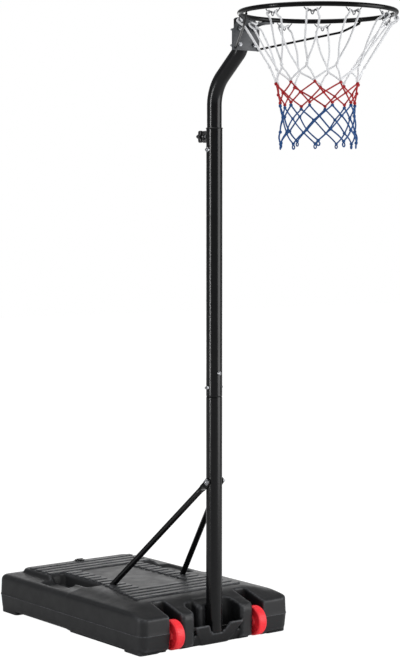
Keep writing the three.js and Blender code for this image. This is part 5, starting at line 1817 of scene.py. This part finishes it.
@dataclass
class Net:
    """Knotted net in three colours, hung on the hooks by one loop each."""

    hoop: Hoop
    depth: float = 0.332
    twist: float = math.radians(-20)
    cord: float = 0.0020
    loop_cord: float = 0.0025
    knot_radius: float = 0.0024
    knot_height: float = 0.0036
    knot_turn: int = 11
    knot_steps: int = 26
    knot_reach: float = 0.0034
    eye: float = 0.0046
    eye_width: float = 0.75
    eye_cord: float = 0.9
    bow: float = 0.0012
    strand_steps: int = 10
    hook_angles: tuple[float, ...] = (-165, -135, -75, -45, -15, 15, 45, 75, 135, 165)
    depth_shares: tuple[float, ...] = (0.404, 0.527, 0.611, 0.693, 0.786, 0.892, 0.976)
    radius_shares: tuple[float, ...] = (0.607, 0.541, 0.5, 0.474, 0.457, 0.469, 0.485)
    twist_shares: tuple[float, ...] = (0.0, 0.45, 0.7, 0.85, 0.9, 1.0, 1.0)
    sway: float = 0.0042
    sway_start: float = 0.06
    sway_end: float = 1.05
    outward_waves: tuple[Wave, ...] = (
        Wave(1.0, 2, 0.0, 0.8), Wave(0.6, 3, 9.0, 0.0), Wave(0.4, 5, -4.0, math.pi / 2))
    sideways_waves: tuple[Wave, ...] = (Wave(0.8, 3, 7.0, 2.0), Wave(0.5, 4, 0.0, math.pi / 2))
    upward_waves: tuple[Wave, ...] = (Wave(0.7, 2, 11.0, 0.4),)

    @property
    def mesh_turn(self) -> float:
        """Angle from one mesh to the next."""
        return 2 * math.pi / len(self.hook_angles)

    def knot_place(self, row: int, index: int, drop: float = 0.0) -> Vector:
        """Place of a knot about the ring's centre.

        Args:
            row: Row of knots, from 0 at the top.
            index: Number of the knot in its row.
            drop: How far below the row it lies.

        Returns:
            Its place.
        """
        half = 1.0 if row % 2 else 0.5
        angle = -math.pi + self.mesh_turn * (index + half) + self.twist * self.twist_shares[row]
        radius = self.hoop.radius * self.radius_shares[row]
        return Vector((radius * math.sin(angle), -radius * math.cos(angle),
                       -self.depth * self.depth_shares[row] - drop))

    def knot(self, skin: Skin, place: Vector, lean: float) -> None:
        """Wind one knot: a bit over two turns of cord about the place.

        Args:
            skin: Skin that it is drawn on.
            place: Middle of the knot.
            lean: Slant of its axis, in radians.
        """
        outward = Vector((place.x, place.y, 0)).normalized()
        turn = Quaternion(outward, lean)
        axis, side = turn @ Z_AXIS, turn @ Z_AXIS.cross(outward)
        line = []
        for step in range(self.knot_steps + 1):
            angle = 2 * math.pi * step / self.knot_turn
            middle = place + axis * ((step / self.knot_steps - 0.5) * self.knot_height)
            line.append(middle + self.knot_radius * (math.cos(angle) * side + math.sin(angle) * outward))
        skin.tube(line, self.cord, 7)

    def strand(self, skin: Skin, start: Vector, end: Vector, bow: float) -> None:
        """Hang one cord between two knots.

        Args:
            skin: Skin that it is drawn on.
            start: Upper knot.
            end: Lower knot.
            bow: How far its middle bows out from the net's axis.
        """
        outward = Vector((start.x + end.x, start.y + end.y, 0)).normalized()
        shares = (step / self.strand_steps for step in range(self.strand_steps + 1))
        line = [start.lerp(end, share) + outward * bow * 4 * share * (1 - share) for share in shares]
        skin.tube(line, self.cord, 8)

    def mesh_of_band(self, knots: Sequence[tuple[int, float]],
                     spans: Sequence[tuple[int, float, float]]) -> Skin:
        """Draw one mesh of a coloured band.

        Args:
            knots: Rows of knots, each with its drop.
            spans: Rows that cords start from, each with the drop at its start and end.

        Returns:
            The skin that it is drawn on.
        """
        skin = Skin()
        for row, drop in knots:
            self.knot(skin, self.knot_place(row, 0, drop), 0.5 if row % 2 else -0.4)
        for row, drop_from, drop_to in spans:
            top = self.knot_place(row, 0, drop_from)
            for neighbour in ((0, 1) if row % 2 else (-1, 0)):
                self.strand(skin, top, self.knot_place(row + 1, neighbour, drop_to), self.bow * (row - 2))
        return skin

    def small_eye(self, skin: Skin) -> None:
        """Hang one small eye from the last row of knots.

        Args:
            skin: Skin that it is drawn on.
        """
        place = self.knot_place(6, 0, self.knot_reach + self.eye)
        along = Z_AXIS.cross(Vector((place.x, place.y, 0)).normalized())
        loop = [place + self.eye * (s * along * self.eye_width + c * Z_AXIS) for c, s in round_steps(20)]
        skin.tube([*loop, loop[0].copy()], self.cord * self.eye_cord, 7)

    def loop_half(self, skin: Skin, index: int, side: Side) -> None:
        """Draw half of a hook's loop, from the hook down to a knot of the second row.

        Args:
            skin: Skin that it is drawn on.
            index: Number of the hook.
            side: Side of the hook.
        """
        angle = math.radians(self.hook_angles[index])
        top = -self.hoop.rod - GAP - self.hoop.hook_wire

        def local(x: float, outward: float, drop: float) -> Vector:
            """Place beside the hook, about the ring's centre.

            Args:
                x: Distance along the ring, away from the hook's middle.
                outward: Distance outside the ring's middle line.
                drop: Distance below the top of the hook.

            Returns:
                The place.
            """
            reach = self.hoop.radius + outward
            across = Vector((math.cos(angle), math.sin(angle), 0)) * side.value * x
            return Vector((reach * math.sin(angle), -reach * math.cos(angle), top - drop)) + across

        beside = self.hoop.hook_wire + self.loop_cord + GAP
        over = beside * 1.35
        meet = self.knot_place(0, index)
        leg = local(0.0155, -0.014, 0.0265)
        middle = leg.lerp(meet, 0.5) + (local(0.004, 0, 0) - local(0, 0, 0))
        second = self.knot_place(1, index if side is Side.RIGHT else index - 1, -self.knot_reach)
        points = [local(-0.0012, -beside, 0.0098), local(0.0050, -beside, 0.0072),
                  local(0.0092, -beside * 0.6, 0.0060), local(0.0118, 0, 0.0095 - over),
                  local(0.0133, over, 0.0100), local(0.0143, -0.004, 0.0180), leg, middle, meet,
                  meet.lerp(second, 0.5), second]
        skin.tube(eased([p + Vector(self.hoop.centre) for p in points], 5), self.loop_cord, 8)

    def swayed(self, piece: bpy.types.Object) -> None:
        """Let a piece of the net drift from its even round, the more the lower it hangs.

        Args:
            piece: The piece.
        """
        flat = np.empty(len(piece.data.vertices) * 3)
        piece.data.vertices.foreach_get("co", flat)
        points = flat.reshape(-1, 3)
        local = points - np.array(self.hoop.centre)
        share = np.clip((-local[:, 2] - self.sway_start) / self.depth, 0, self.sway_end)
        angle = np.arctan2(local[:, 0], -local[:, 1])
        outward = local[:, :2] / np.maximum(np.hypot(local[:, 0], local[:, 1]), LEAST_RADIUS)[:, None]
        radial, across, up = (self.sway * share * sum(wave.at(angle, share) for wave in waves)
                              for waves in (self.outward_waves, self.sideways_waves, self.upward_waves))
        points[:, 0] += outward[:, 0] * radial - outward[:, 1] * across
        points[:, 1] += outward[:, 1] * radial + outward[:, 0] * across
        points[:, 2] += up
        piece.data.vertices.foreach_set("co", points.ravel())
        piece.data.update()

    def build(self) -> None:
        """Make the white loops and their knots, then the red and the blue band."""
        loops, knots = Skin(), Skin()
        for index in range(len(self.hook_angles)):
            for side in Side:
                self.loop_half(loops, index, side)
        self.knot(knots, self.knot_place(1, 0, -self.knot_reach), 0.4)
        self.knot(knots, self.knot_place(0, 0), 0.2)
        drop = self.knot_height
        red = self.mesh_of_band([(1, drop), (2, 0.0), (3, -drop)], [(1, drop, 0.0), (2, 0.0, -drop)])
        blue = self.mesh_of_band([(3, drop), (4, 0.0), (5, 0.0), (6, 0.0)],
                                 [(3, drop, 0.0), (4, 0.0, 0.0), (5, 0.0, 0.0)])
        self.small_eye(blue)
        once_round = Pattern(len(self.hook_angles), self.hoop.centre, turn_step=(0, 0, self.mesh_turn))
        for skin, name, slot, nodes, pattern in (
                (loops, "net_loops_white", Slot.WHITE_CORD, ["net_white"], None),
                (knots, "net_knots_white", Slot.WHITE_CORD, [], once_round),
                (red, "net_band_red", Slot.RED_CORD, ["net_red"], once_round),
                (blue, "net_band_blue", Slot.BLUE_CORD, ["net_blue"], once_round)):
            self.swayed(skin.keep(name, Body.MAST, slot, *nodes, crease=60.0, pattern=pattern))


# Studio


@dataclass(frozen=True)
class Lamp:
    """Soft lamp with an oblong face."""

    name: str
    place: Place
    target: Place
    size: Range
    power: float
    spread: float = 180.0

    def hang(self) -> None:
        """Hang the lamp so that it faces its target."""
        data = bpy.data.lights.new(self.name, "AREA")
        data.shape = "RECTANGLE"
        data.size, data.size_y = self.size
        data.energy = self.power
        data.spread = math.radians(self.spread)
        lamp = bpy.data.objects.new(self.name, data)
        bpy.context.scene.collection.objects.link(lamp)
        facing = (Vector(self.target) - Vector(self.place)).to_track_quat("-Z", "Y")
        lamp.matrix_world = Matrix.Translation(self.place) @ facing.to_matrix().to_4x4()


@dataclass
class Studio:
    """Camera of the photograph, pale floor, white background and soft lamps."""

    eye: Place = (-2.98993, -3.82183, 1.1668)
    heading: float = 0.6559
    pitch: float = -0.0619
    focal_pixels: float = 1787.9147
    image_height: float = 658.0
    sensor: float = 36.0
    sight: float = 60.0
    floor_half: float = 14.0
    floor_tone: float = 0.66
    floor_glow: float = 1.2
    glow_share: float = 0.84
    ambient: float = 0.65
    gloss_ambient: float = 0.22
    lamps: tuple[Lamp, ...] = (
        Lamp("key", (-3.34, 0.53, 1.3), (0.0, 0.0, 1.3), (0.35, 2.2), 5.5, 50.0),
        Lamp("fill", (1.95, -2.75, 1.3), (0.0, 0.0, 0.9), (2.4, 2.6), 80.0),
        Lamp("top", (-0.2, 0.2, 4.2), (0.0, 0.1, 0.2), (2.2, 2.2), 32.0),
        Lamp("back", (2.6, 3.9, 1.0), (0.0, 0.3, 0.1), (3.0, 1.4), 20.0))

    def camera(self) -> None:
        """Place the camera of the photograph."""
        data = bpy.data.cameras.new("photo_camera")
        data.sensor_width = self.sensor
        data.lens = self.focal_pixels / self.image_height * self.sensor
        data.clip_end = self.sight
        camera = bpy.data.objects.new("photo_camera", data)
        bpy.context.scene.collection.objects.link(camera)
        level = math.cos(self.pitch)
        ahead = Vector((math.sin(self.heading) * level, math.cos(self.heading) * level, math.sin(self.pitch)))
        right = ahead.cross(Z_AXIS).normalized()
        turn = Matrix((right, right.cross(ahead), -ahead)).transposed().to_4x4()
        camera.matrix_world = Matrix.Translation(self.eye) @ turn
        bpy.context.scene.camera = camera

    def background(self) -> None:
        """Show the camera a white world, and light the object with a grey one."""
        world = bpy.data.worlds.new("studio")
        bpy.context.scene.world = world
        world.use_nodes = True
        nodes = Nodes(world.node_tree)
        path = nodes.add("ShaderNodeLightPath").outputs
        seen = nodes.add("ShaderNodeMath", {0: path["Is Camera Ray"], 1: path["Is Transmission Ray"]},
                         operation="MAXIMUM")
        lit = nodes.add("ShaderNodeMapRange", {
            "Value": path["Is Glossy Ray"], "To Min": self.ambient, "To Max": self.gloss_ambient})
        level = nodes.add("ShaderNodeMath", {0: lit.outputs["Result"], 1: seen.outputs["Value"]},
                          operation="MAXIMUM")
        sky = nodes.add("ShaderNodeBackground", {"Color": (1, 1, 1, 1), "Strength": level.outputs["Value"]})
        nodes.add("ShaderNodeOutputWorld", {"Surface": sky.outputs["Background"]})

    def floor(self) -> None:
        """Lay the pale floor, which looks white and keeps a faint shadow."""
        corners = [(x * self.floor_half, y * self.floor_half, 0)
                   for x, y in ((-1, -1), (1, -1), (1, 1), (-1, 1))]
        mesh = bpy.data.meshes.new("studio_floor")
        mesh.from_pydata(corners, [], [(0, 1, 2, 3)])
        material = bpy.data.materials.new("studio_floor")
        material.use_nodes = True
        nodes = Nodes(material.node_tree)
        matt = nodes.add("ShaderNodeBsdfDiffuse", {"Color": (*[self.floor_tone] * 3, 1)})
        glow = nodes.add("ShaderNodeEmission", {"Strength": self.floor_glow})
        seen = nodes.add("ShaderNodeLightPath").outputs["Is Camera Ray"]
        share = nodes.add("ShaderNodeMath", {0: seen, 1: self.glow_share}, operation="MULTIPLY")
        mix = nodes.add("ShaderNodeMixShader", {
            "Fac": share.outputs["Value"], 1: matt.outputs["BSDF"], 2: glow.outputs["Emission"]})
        nodes.add("ShaderNodeOutputMaterial", {"Surface": mix.outputs["Shader"]})
        mesh.materials.append(material)
        floor = bpy.data.objects.new("studio_floor", mesh)
        bpy.context.scene.collection.objects.link(floor)

    def build(self) -> None:
        """Set up the studio."""
        bpy.context.scene.view_settings.view_transform = "Standard"
        self.camera()
        self.background()
        self.floor()
        for lamp in self.lamps:
            lamp.hang()


def dress_nodes() -> None:
    """Give every CAD node the finish of its slot."""
    for part in frame["record"]["subparts"]:
        node = frame["nodes"][part["node"]]
        node.data.materials.clear()
        node.data.materials.append(FINISHES[Slot(part["material_slot"])].material())


def main() -> None:
    """Build the sub-assemblies in order."""
    logging.basicConfig(level=logging.INFO, format="%(name)s %(message)s")
    Studio().build()
    dress_nodes()
    mast = Mast()
    hoop = Hoop(mast)
    for assembly in (Tank(), Wheels(), Pole(), Clamp(), mast, hoop, Net(hoop)):
        assembly.build()


if __name__ == "__main__":
    main()
